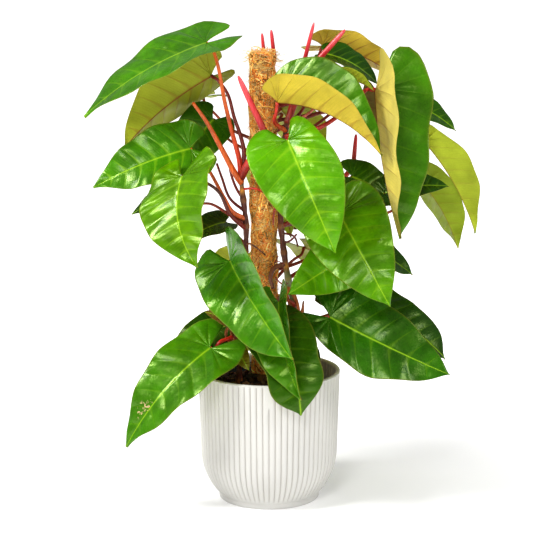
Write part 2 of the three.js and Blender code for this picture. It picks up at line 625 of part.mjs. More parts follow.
for (const name of Object.keys(stems)) {
  const stalks = Object.values(leaves).filter((leaf) => leaf.stalk[0] === name).map(stalkGeometry);
  const spikeStalks = Object.values(spikes).filter((spike) => spike.stalk[0] === name).map(spikeStalkGeometry);
  const roots = strands.filter((strand) => strand.on[0] === name).map(strandGeometry);
  const parts = [stemGeometry(name), ...stalks, ...spikeStalks, ...roots];
  add(`stem_${name}`, geometryOf(fuse(parts.map(solidOf))), 0x7a2f20, 0.5);
}

for (const [name, leaf] of Object.entries(leaves)) add(`leaf_${name}`, bladeGeometry(leaf), 0x3f8a22, 0.35);
for (const [name, spike] of Object.entries(spikes)) add(`new_leaf_${name}`, spikeGeometry(spike), 0xd8354a, 0.35);

export default plant;
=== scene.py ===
# %% [markdown]
# # A red emerald philodendron on its coir pole
# The plant climbs a pole wrapped in coir, in a white ribbed pot. Every piece but the hidden stick is built
# here as a mesh, in metres, in the place that the packed solids give it, and each gets a finish made of
# procedural nodes. The tables below repeat the places of the leaves and stalks in millimetres, because
# that is how a grower would measure them.

# %% The frame
import math
import bpy
import numpy as np
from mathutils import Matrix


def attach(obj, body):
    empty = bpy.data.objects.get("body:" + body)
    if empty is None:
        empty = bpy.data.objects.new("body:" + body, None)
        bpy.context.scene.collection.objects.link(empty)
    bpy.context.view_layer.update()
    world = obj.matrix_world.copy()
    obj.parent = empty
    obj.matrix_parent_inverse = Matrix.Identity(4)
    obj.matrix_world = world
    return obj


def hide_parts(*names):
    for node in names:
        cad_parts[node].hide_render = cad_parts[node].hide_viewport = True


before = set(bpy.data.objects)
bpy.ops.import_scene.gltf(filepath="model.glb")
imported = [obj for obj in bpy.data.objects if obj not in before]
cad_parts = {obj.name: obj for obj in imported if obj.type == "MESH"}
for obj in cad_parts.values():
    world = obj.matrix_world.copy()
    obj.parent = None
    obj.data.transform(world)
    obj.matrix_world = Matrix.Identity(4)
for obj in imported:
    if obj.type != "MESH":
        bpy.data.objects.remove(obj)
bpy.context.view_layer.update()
MM = 0.001
draw = np.random.default_rng(8972)
print(len(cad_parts), "solids in the frame")

# %% [markdown]
# ## Making a mesh from arrays
# A plant has thousands of small faces that follow a rule, so they are easier to compute than to model by
# hand. One could use bmesh and add faces one at a time, but arrays of corners and faces are filled in at
# once and stay fast. Each piece also keeps a few values per corner, such as its colour, which the nodes
# of its finish read.

# %% Faces over grids and rings
def grid_faces(rows, columns, closed=False):
    """Four-cornered faces over a grid of corners that is stored row by row."""
    across = columns if closed else columns - 1
    row, column = np.meshgrid(np.arange(rows - 1), np.arange(across), indexing="ij")
    right = (column + 1) % columns
    a, b = row * columns + column, row * columns + right
    return np.stack([a, b, b + columns, a + columns], axis=-1).reshape(-1, 4)


def around_axis(count):
    """Angles that go once round, evenly."""
    return np.arange(count) * 2 * math.pi / count


def capped(rings, start, end):
    """A closed skin over rings of equal length, with both ends brought to a point: its corners and faces."""
    count, sides = rings.shape[:2]
    n, here = count * sides, np.arange(sides)
    following = (here + 1) % sides
    faces = [grid_faces(count, sides, closed=True),
             np.stack([np.full(sides, n), following, here], -1),
             np.stack([np.full(sides, n + 1), n - sides + here, n - sides + following], -1)]
    return np.concatenate([rings.reshape(-1, 3), [start, end]]), faces


print("a closed grid of 3 by 4 corners has", len(grid_faces(3, 4, closed=True)), "faces")


# %% One piece, and a heap of small meshes that become one
def make_piece(name, corners, faces, finishes, slot, replaced=(), finish_of_face=None, **values):
    """One object from corners in metres and a list of face arrays, with named values at its corners."""
    faces = [np.asarray(f, np.int32) for f in faces if len(f)]
    mesh = bpy.data.meshes.new(name)
    mesh.vertices.add(len(corners))
    mesh.vertices.foreach_set("co", np.ascontiguousarray(corners, np.float32).ravel())
    loops = np.concatenate([f.ravel() for f in faces])
    sizes = np.concatenate([np.full(len(f), f.shape[1]) for f in faces])
    mesh.loops.add(len(loops))
    mesh.loops.foreach_set("vertex_index", loops)
    mesh.polygons.add(len(sizes))
    mesh.polygons.foreach_set("loop_start", (np.cumsum(sizes) - sizes).astype(np.int32))
    mesh.update(calc_edges=True)
    for finish in finishes:
        mesh.materials.append(finish)
    if finish_of_face is not None:
        mesh.polygons.foreach_set("material_index", np.asarray(finish_of_face, np.int32))
    mesh.polygons.foreach_set("use_smooth", np.ones(len(sizes), bool))
    for key, value in values.items():
        value = np.ascontiguousarray(value, np.float32)
        kind, field = ("FLOAT", "value") if value.ndim == 1 else ("FLOAT_VECTOR", "vector")
        mesh.attributes.new(key, kind, "POINT").data.foreach_set(field, value.ravel())
    piece = bpy.data.objects.new(name, mesh)
    bpy.context.scene.collection.objects.link(piece)
    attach(piece, "root")
    if replaced:
        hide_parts(*replaced)
    return piece


class Heap:
    """Collects many small meshes, with their values, so that they become one piece."""

    def __init__(self):
        self.corners, self.faces, self.values, self.count = [], [], {}, 0

    def add(self, corners, faces, **values):
        corners = np.reshape(corners, (-1, 3))
        self.corners.append(corners)
        self.faces += [f + self.count for f in faces]
        for key, value in values.items():
            self.values.setdefault(key, []).append(np.broadcast_to(value, (len(corners), 3)))
        self.count += len(corners)

    def make(self, name, finishes, slot, replaced=()):
        by_size = {}
        for f in self.faces:
            by_size.setdefault(f.shape[1], []).append(f)
        faces = [np.concatenate(same) for same in by_size.values()]
        values = {key: np.concatenate(parts) for key, parts in self.values.items()}
        piece = make_piece(name, np.concatenate(self.corners), faces, finishes, slot, replaced, **values)
        print(name, len(piece.data.polygons), "faces")


print("an empty heap holds", Heap().count, "corners")

# %% [markdown]
# ## Finishes from nodes
# A finish is a Principled shader whose colour, roughness and bump come from noise and from the values
# kept at the corners. A photograph wrapped round the piece would be quicker, but it would show the light
# of its own room and fail from other sides, while nodes follow the form and can be tuned one by one.

# %% Node helpers
class Finish:
    """A Principled material and short ways to add its nodes."""

    def __init__(self, name, **sockets):
        self.material = bpy.data.materials.new(name)
        self.material.use_nodes = True
        self.tree = self.material.node_tree
        self.shader = self.tree.nodes["Principled BSDF"]
        self.where = self.tree.nodes.new("ShaderNodeTexCoord").outputs["Object"]
        for socket, value in sockets.items():
            self.shader.inputs[socket.replace("_", " ")].default_value = value

    def put(self, socket, value):
        if isinstance(value, bpy.types.NodeSocket):
            self.tree.links.new(value, socket)
        elif value is not None:
            socket.default_value = value

    def node(self, kind, **inputs):
        node = self.tree.nodes.new("ShaderNode" + kind)
        for name, value in inputs.items():
            self.put(node.inputs[name.replace("_", " ")], value)
        return node

    def noise(self, scale, detail=3.0, roughness=0.55, distortion=0.0, where=None):
        node = self.node("TexNoise", Vector=where or self.where, Scale=scale, Detail=detail,
                         Roughness=roughness, Distortion=distortion)
        return node.outputs["Fac"]

    def cells(self, scale):
        """How far a place is from the walls between small cells."""
        node = self.node("TexVoronoi", Vector=self.where, Scale=scale)
        node.feature = "DISTANCE_TO_EDGE"
        return node.outputs["Distance"]

    def stretch(self, factors):
        node = self.node("VectorMath")
        node.operation = "MULTIPLY"
        self.put(node.inputs[0], self.where)
        self.put(node.inputs[1], factors)
        return node.outputs["Vector"]

    def read(self, name, part=None):
        node = self.tree.nodes.new("ShaderNodeAttribute")
        node.attribute_name = name
        if part is None:
            return node.outputs["Color"]
        split = self.tree.nodes.new("ShaderNodeSeparateXYZ")
        self.put(split.inputs[0], node.outputs["Vector"])
        return split.outputs[part]

    def maths(self, operation, a, b=None):
        node = self.node("Math")
        node.operation = operation
        self.put(node.inputs[0], a)
        self.put(node.inputs[1], b)
        return node.outputs[0]

    def times(self, a, b):
        return self.maths("MULTIPLY", a, b)

    def span(self, value, low, high, new_low=0.0, new_high=1.0):
        node = self.node("MapRange", Value=value, From_Min=low, From_Max=high, To_Min=new_low, To_Max=new_high)
        return node.outputs["Result"]

    def varied(self, noise, low, high):
        """Noise, which keeps mostly to 0.3-0.7, spread from low to high."""
        return self.span(noise, 0.3, 0.7, low, high)

    def mix(self, share, a, b, blend="MIX"):
        node = self.node("Mix")
        node.data_type, node.blend_type = "RGBA", blend
        for name, value in (("Factor_Float", share), ("A_Color", a), ("B_Color", b)):
            socket = next(s for s in node.inputs if s.identifier == name)
            self.put(socket, value if isinstance(value, (float, bpy.types.NodeSocket)) else (*value, 1))
        return next(s for s in node.outputs if s.identifier == "Result_Color")

    def over(self, body, mask, strength, tone):
        """The body with a tone laid over it where the mask says so."""
        return self.mix(self.times(mask, strength), body, tone)

    def tinted(self, a, b):
        return self.mix(1.0, a, b, "MULTIPLY")

    def ramp(self, share, *stops):
        node = self.node("ValToRGB", Fac=share)
        while len(node.color_ramp.elements) < len(stops):
            node.color_ramp.elements.new(0.5)
        for element, (position, tone) in zip(node.color_ramp.elements, stops):
            element.position, element.color = position, (*tone, 1)
        return node.outputs["Color"]

    def bump(self, height, distance, strength, over=None):
        node = self.node("Bump", Height=height, Distance=distance, Strength=strength, Normal=over)
        return node.outputs["Normal"]

    def done(self, body, roughness, normal=None):
        self.put(self.shader.inputs["Base Color"], body)
        self.put(self.shader.inputs["Roughness"], roughness)
        self.put(self.shader.inputs["Normal"], normal)
        return self.material


print("short ways to add nodes:", ", ".join(key for key in vars(Finish) if not key.startswith("_")))


# %% Soft steps, directions and colours
def smooth(x, low, high):
    """0 below low, 1 above high, and a soft step between."""
    t = np.clip((x - low) / (high - low), 0, 1)
    return t * t * (3 - 2 * t)


def unit(v):
    return v / np.linalg.norm(v, axis=-1, keepdims=True)


def colour(*screen):
    """A colour named by screen values 0-255, in the linear light that shaders use."""
    c = np.array(screen, float) / 255
    return np.where(c <= 0.04045, c / 12.92, ((c + 0.055) / 1.055) ** 2.4)


print("screen grey 128 is", colour(128, 128, 128).round(3), "in linear light")

# %% [markdown]
# ## The pot
# A slip-cast ceramic pot with fine upright ribs, a round shoulder and a small plain foot. An array of one
# rib round an empty would do, but the ribs follow the wall's curve, so each ring of corners is computed:
# a narrow groove is pressed in every five degrees, with a rounded rib on each side, and fades out at the
# rim and at the foot. In front one groove starts lower and leaves a plain strip under the rim.

# %% The pot's profile and ribs
POT_HEIGHT, POT_RIM, POT_SHOULDER, SHOULDER_HEIGHT = 203, 110, 106, 75
POT_FOOT, FOOT_HEIGHT, POT_WALL, POT_FLOOR = 78, 9, 5.5, 7
RIBS, GROOVE_DEPTH, PLAIN_STRIP = 72, 2.1, 36
ACROSS_RIB = np.array([-0.5, -0.38, -0.27, -0.18, -0.11, -0.05, 0, 0.05, 0.11, 0.18, 0.27, 0.38])


def pot_radius(height):
    rise = np.clip((height - FOOT_HEIGHT) / (SHOULDER_HEIGHT - FOOT_HEIGHT), 0, 1)
    lower = POT_FOOT + (POT_SHOULDER - POT_FOOT) * np.sin(rise * math.pi / 2) ** 0.75
    share = (height - SHOULDER_HEIGHT) / (POT_HEIGHT - SHOULDER_HEIGHT)
    upper = POT_SHOULDER + (POT_RIM - POT_SHOULDER) * share
    return np.where(height <= FOOT_HEIGHT, POT_FOOT, np.where(height < SHOULDER_HEIGHT, lower, upper))


print("pot radius at the rim", pot_radius(POT_HEIGHT), "mm, at the foot", pot_radius(0), "mm")

# %% [markdown]
# The pot's rings run from the foot up the outside, over a round lip and down the inside to the floor. The
# heights lie closer where the wall bends. A denser even grid would give the same form with many more
# faces.

# %% The pot's rings
FADE_OUT, LIP_START, LIP_RISE = (198.5, 201.2), 201.4, 1.6


def pot_rings():
    """Rings of corners from the foot over the lip to the inner floor, and how deep the groove is at each."""
    rib, across = np.divmod(np.arange(RIBS * len(ACROSS_RIB)), len(ACROSS_RIB))
    angle = (rib + ACROSS_RIB[across]) * 2 * math.pi / RIBS
    near_groove = 1 - 2 * np.abs(ACROSS_RIB[across])
    groove = 1 - np.sqrt(1 - near_groove ** 3)
    in_front = np.abs(np.angle(np.exp(1j * (angle + math.pi / 2)))) < math.pi / RIBS
    outside = [(0.8, 0), (0, 0.8), (0, 4.5), (0, 8.2), (-0.5, 8.8), (-0.5, 9.3)]
    for z in (9.9, 10.8, 12, 14, 17, 20, 24, 29, 35, 42, 50, 58, 66, 75, 88, 102, 118, 134, 150,
              160, 165, 168, 171, 180, 190, 197, 199.5, 200.6, 201.4):
        outside.append((0, z))
    inside = [200.6, 199, 195, 186, 172, 150, 120, 90, 60, 46, 30, 18, 11]
    rings, depths = [], []

    def ring(radius, z, press=0):
        rings.append(np.stack([radius * np.cos(angle), radius * np.sin(angle), np.full_like(angle, z)], -1))
        depths.append(np.broadcast_to(press, angle.shape))

    strip_from = POT_HEIGHT - PLAIN_STRIP
    for offset, z in outside:
        fade = smooth(z, 9.3, 17) * (1 - smooth(z, *FADE_OUT))
        strip = np.where(in_front, 1 - smooth(z, strip_from - 3, strip_from + 1), 1)
        press = GROOVE_DEPTH * fade * groove * strip
        ring(pot_radius(z) - offset - press, z, press)
    for turn in np.linspace(0, math.pi, 9):
        ring(pot_radius(LIP_START) - POT_WALL / 2 * (1 - math.cos(turn)), LIP_START + LIP_RISE * math.sin(turn))
    for z in inside:
        press = 1.1 * (1 - smooth(z, *FADE_OUT)) * smooth(z, 20, 40) * groove
        ring(pot_radius(np.maximum(z, FOOT_HEIGHT + 2)) - POT_WALL - 0.9 + press, z, press)
    ring(POT_FOOT - POT_WALL - 4, POT_FLOOR)
    return np.array(rings) * MM, np.array(depths)


rings, depths = pot_rings()
corners, faces = capped(rings, (0, 0, 0), (0, 0, POT_FLOOR * MM))
print(len(rings), "rings of", len(rings[0]), "corners, pressed in by up to", round(depths.max(), 2), "mm")

# %% [markdown]
# The slip is an off-white, nearly matte skin with faint specks, and the grooves get painted shade. A
# plain white material would look like plastic. The groove depth kept at each corner paints that shade
# into the grooves, and bumps of two sizes break up the shine.

# %% The pot's finish
def pot_finish():
    f = Finish("matte_white_slip", Specular_IOR_Level=0.35, Coat_Weight=0.06, Coat_Roughness=0.45)
    groove = f.read("depth", 0)
    body = f.mix(f.noise(14, 4), (0.59, 0.58, 0.55), (0.65, 0.64, 0.61))
    speck = f.span(f.noise(900, 2), 0.62, 0.8)
    body = f.over(body, speck, 0.25, (0.62, 0.58, 0.52))
    # painted shade: the grooves are darkened by how deep they are pressed in
    body = f.over(body, groove, 0.5, (0.34, 0.30, 0.26))
    rough = f.varied(f.noise(160, 4), 0.5, 0.66)
    fine = f.bump(f.noise(700, 3), 0.00012, 0.5)
    return f.done(body, rough, f.bump(f.noise(60, 3), 0.0003, 0.35, fine))


depth = np.concatenate([depths.ravel() / GROOVE_DEPTH, [0, 0]])
pot = make_piece("ribbed_pot", corners, faces, [pot_finish()], "pot_ceramic", ["pot"],
                 depth=np.stack([depth, depth, depth], -1))
print("pot", len(pot.data.polygons), "faces")

# %% [markdown]
# ## The nursery pot
# Inside the cover pot stands the thin dark pot that the plant was grown in. Only its lip and a finger of
# its wall can be seen, so a profile turned round its own axis is enough: wall, a rolled lip and the
# inside. Blender's Screw modifier would turn it too. The plastic is dark, a little rough, and dusty.

# %% Turning a profile
def turned(profile, sides, centre=(0, 0)):
    """A closed skin round an upright axis. profile: (radius, height) in mm, from the axis to the axis."""
    angle = around_axis(sides)
    rings = [np.stack([r * np.cos(angle) + centre[0], r * np.sin(angle) + centre[1], np.full(sides, z)], -1)
             for r, z in profile[1:-1]]
    corners, faces = capped(np.array(rings), [*centre, profile[0][1]], [*centre, profile[-1][1]])
    return corners * MM, faces


NURSERY_CENTRE, NURSERY_TOP, NURSERY_RIM, NURSERY_FOOT = (-9, -9), 195, 85, 56
NURSERY_START = POT_FLOOR + 0.3


def nursery_wall(level):
    return NURSERY_FOOT + (NURSERY_RIM - NURSERY_FOOT) * (level - NURSERY_START) / (NURSERY_TOP - NURSERY_START)


def nursery_finish():
    f = Finish("dark_moulded_plastic", Specular_IOR_Level=0.45)
    body = f.mix(f.noise(30, 4), (0.008, 0.016, 0.026), (0.02, 0.034, 0.05))
    dust = f.span(f.noise(240, 5), 0.52, 0.75)
    body = f.over(body, dust, 0.5, (0.10, 0.075, 0.05))
    return f.done(body, f.varied(f.noise(120), 0.38, 0.62), f.bump(f.noise(500, 3), 0.0002, 0.6))


wall = [(nursery_wall(z), z) for z in np.linspace(NURSERY_START, 184, 12)]
lip = [(88, 184.6), (88.6, 186), (88.2, 193.6), (87.4, 194.8), (86, 195), (84.4, 194.4), (83.6, 193)]
inner = [(nursery_wall(z) - 2, z) for z in np.linspace(186, NURSERY_START + 2, 8)]
profile = [(0, NURSERY_START)] + wall + lip + inner + [(0, NURSERY_START + 2)]
corners, faces = turned(profile, 128, NURSERY_CENTRE)
nursery_pot = make_piece("nursery_pot_moulded", corners, faces, [nursery_finish()], "nursery_plastic",
                         ["nursery_pot"])
print("nursery pot", len(nursery_pot.data.polygons), "faces")

# %% [markdown]
# ## The potting mix
# The soil is bark, coir chips and dark crumbs. A particle system could scatter them, but the export drops
# instances, so the crumbs are real faces here: a lumpy bed with chips and crumbs pressed into it, each
# one a small rounded block, turned and squeezed by seeded random numbers.

# %% Small rounded blocks
def ball(rows=5, columns=7):
    """A coarse ball of radius 1 as corners and faces."""
    up = np.linspace(0, math.pi, rows + 2)[1:-1]
    u, t = np.meshgrid(up, around_axis(columns), indexing="ij")
    rings = np.stack([np.sin(u) * np.cos(t), np.sin(u) * np.sin(t), np.cos(u)], -1)
    corners, faces = capped(rings, (0, 0, 1), (0, 0, -1))
    return corners, [f[:, ::-1] for f in faces]


def random_turn():
    """A rotation matrix from four seeded numbers."""
    q = draw.normal(size=4)
    w, x, y, z = q / np.linalg.norm(q)
    return np.array([[1 - 2 * (y * y + z * z), 2 * (x * y - z * w), 2 * (x * z + y * w)],
                     [2 * (x * y + z * w), 1 - 2 * (x * x + z * z), 2 * (y * z - x * w)],
                     [2 * (x * z - y * w), 2 * (y * z + x * w), 1 - 2 * (x * x + y * y)]])


BLOCK, BLOCK_FACES = ball()
print("a block has", len(BLOCK), "corners")


# %% The bed of soil
def bed_height(x, y):
    """The soil's surface in mm above its mean, a sum of a few waves."""
    broad, middling = 2.2 * np.sin(x / 13 + 1) * np.cos(y / 11), 1.3 * np.sin(x / 6.3 + y / 8)
    return broad + middling + 0.8 * np.cos(x / 3.1 - y / 3.7)


def bed_ring(radius, height, turn):
    """A ring of the bed; its height is a number or follows from the place."""
    x, y = NURSERY_CENTRE[0] + radius * np.cos(turn), NURSERY_CENTRE[1] + radius * np.sin(turn)
    return np.stack([x, y, height(x, y) if callable(height) else np.full_like(x, height)], -1)


SOIL_TOP, SOIL_CHIPS, SOIL_CRUMBS = 184, 150, 620
SOIL_SIDES, CLEAR_OF_WALL = 96, 2.4
soil = Heap()
turn = around_axis(SOIL_SIDES)
bed = [bed_ring(r, z, turn) for r, z in ((0.5, 10), (nursery_wall(10) - CLEAR_OF_WALL, 10),
                                         (nursery_wall(100) - CLEAR_OF_WALL, 100))]
for share in np.linspace(1, 0.03, 34):
    calm = min(1, 6 * (1.02 - share))
    bed.append(bed_ring(share * (nursery_wall(SOIL_TOP) - CLEAR_OF_WALL),
                        lambda x, y: SOIL_TOP - 1 + bed_height(x, y) * calm, turn))
soil.add(np.array(bed) * MM, [grid_faces(len(bed), SOIL_SIDES, closed=True)], tint=(0.035, 0.02, 0.012))
print("the bed has", len(bed), "rings")

# %% Chips and crumbs
STREWN_RADIUS = 80
CHIP_COLOURS = np.array([(0.10, 0.045, 0.018), (0.17, 0.085, 0.035), (0.05, 0.026, 0.014), (0.26, 0.15, 0.07)])
for i in range(SOIL_CHIPS + SOIL_CRUMBS):
    chip = i < SOIL_CHIPS
    angle, radius = draw.uniform(0, 2 * math.pi), STREWN_RADIUS * math.sqrt(draw.uniform(0.0, 1.0))
    x, y = NURSERY_CENTRE[0] + radius * math.cos(angle), NURSERY_CENTRE[1] + radius * math.sin(angle)
    size = draw.uniform(3, 8) if chip else draw.uniform(0.9, 2.6)
    if chip:
        squeeze = np.array([1, draw.uniform(0.45, 0.8), draw.uniform(0.25, 0.5)])
    else:
        squeeze = draw.uniform(0.6, 1, 3)
    jagged = BLOCK * (1 + draw.uniform(-0.22, 0.22, (len(BLOCK), 1)))
    shape = (np.sign(jagged) * np.abs(jagged) ** 0.8 * size * squeeze) @ random_turn().T
    sunk = 0.35 * size * squeeze[2]
    tone = CHIP_COLOURS[draw.integers(4 if chip else 3)] * draw.uniform(0.5, 1.1)
    soil.add((shape + [x, y, SOIL_TOP - 1 + bed_height(x, y) + sunk]) * MM, BLOCK_FACES, tint=tone)
print(SOIL_CHIPS, "chips and", SOIL_CRUMBS, "crumbs")

# %% [markdown]
# Damp bark and crumbs are dark, rough and nowhere the same. Each chip keeps its own colour at its corners,
# and noise makes it uneven. One material that reads those colours is easier to tune than one for each kind
# of chip.

# %% The soil's finish
def soil_finish():
    f = Finish("bark_and_crumbs", Specular_IOR_Level=0.25)
    body = f.mix(f.noise(330, 5, 0.7), (0.25, 0.22, 0.2), (1, 1, 1))
    body = f.tinted(f.read("tint"), body)
    damp = f.span(f.noise(40, 3), 0.4, 0.62, 0.62, 0.95)
    rough = f.bump(f.noise(420, 6, 0.7), 0.0012, 0.9)
    return f.done(body, damp, rough)


soil.make("potting_mix_and_chips", [soil_finish()], "potting_mix", ["soil"])

# %% [markdown]
# ## Curves for stalks and outlines
# Stalks and leaf edges are drawn through a few measured points. Blender's own curves could do that, but
# the packed solids were drawn with Catmull-Rom curves, and the same rule here puts the fine pieces
# exactly where they are.

# %% Catmull-Rom curves
def curve_through(points, power, samples):
    """A Catmull-Rom curve through all but the two outer points, and how far along each sample is."""
    points = np.array(points, float)
    position = np.linspace(0, len(points) - 3, samples)
    i = np.minimum(position.astype(int), len(points) - 4)
    w = (position - i)[:, None]
    p0, p1, p2, p3 = (points[i + k] for k in range(4))
    d0, d1, d2 = (np.linalg.norm(b - a, axis=1)[:, None] ** power for a, b in ((p0, p1), (p1, p2), (p2, p3)))
    t1 = ((p1 - p0) / d0 - (p2 - p0) / (d0 + d1) + (p2 - p1) / d1) * d1
    t2 = ((p2 - p1) / d1 - (p3 - p1) / (d1 + d2) + (p3 - p2) / d2) * d1
    curve = p1 + t1 * w + (3 * p2 - 3 * p1 - 2 * t1 - t2) * w ** 2 + (2 * p1 - 2 * p2 + t1 + t2) * w ** 3
    return curve, np.concatenate([[0], np.cumsum(np.linalg.norm(np.diff(curve, axis=0), axis=1))])


def outline_curve(points):
    """A uniform curve in the plane, walked evenly along its length by shares from 0 to 1."""
    curve, walked = curve_through([points[0], *points, points[-1]], 0, 400)
    return lambda share: np.stack([np.interp(share * walked[-1], walked, curve[:, k]) for k in (0, 1)], -1)


def space_curve(points, samples=240):
    """A centripetal curve in space, with its ends drawn on straight."""
    points = np.array(points, float)
    return curve_through([2 * points[0] - points[1], *points, 2 * points[-1] - points[-2]], 0.5, samples)


print("a quarter of the way along a bent curve:", outline_curve([(0, 0), (1, 0), (1, 1)])(0.25).round(3))

# %% A round stalk along a curve
def tube(points, radius_at, sides=12, step=4.0):
    """A round stalk along a curve: its corners in mm, its faces, and how far along each corner is."""
    curve, walked = space_curve(points)
    count = max(3, int(walked[-1] / step) + 1)
    share = np.linspace(0, 1, count)
    centre = np.stack([np.interp(share * walked[-1], walked, curve[:, k]) for k in range(3)], -1)
    tangent = unit(np.gradient(centre, axis=0))
    radius = np.broadcast_to(radius_at(share), share.shape)
    across = np.cross([0, 1, 0.01], tangent[0])
    angle = around_axis(sides)
    rings = []
    for k in range(count):
        across = unit(across - tangent[k] * np.dot(across, tangent[k]))
        over = np.cross(tangent[k], across)
        rings.append(centre[k] + radius[k] * (np.cos(angle)[:, None] * across + np.sin(angle)[:, None] * over))
    corners, faces = capped(np.array(rings), centre[0], centre[-1])
    return corners, faces, np.concatenate([np.repeat(share, sides), [0, 1]])


print("a 100 mm stalk has", len(tube([(0, 0, 0), (0, 0, 100)], lambda share: 2)[0]), "corners")

# %% [markdown]
# ## The leaves
# A philodendron leaf is an arrow: a long blade with two round lobes behind the joint, one straight midrib
# and pairs of side veins that curve to the edge. Each leaf is a grid in which the rows follow the veins,
# bent by a fold along the midrib, a bow and a little ripple. A flat plane with a cut-out picture would be
# lighter, but it has no thickness and no veins to catch the light.

# %% Where each leaf sits
USUAL = dict(width=1, fold=(12, 12), bow=0.1, sweep=0, lobe=1, cheek=(1, 1), wave=0.01, blunt=0)


def placed(joint, tip, face, stem, level, *via, **shape):
    """A leaf: its joint and tip, the way it faces, the stem, level and way of its stalk, and its shape."""
    return {**USUAL, "joint": joint, "tip": tip, "face": face, "stalk": (stem, level, *via), **shape}


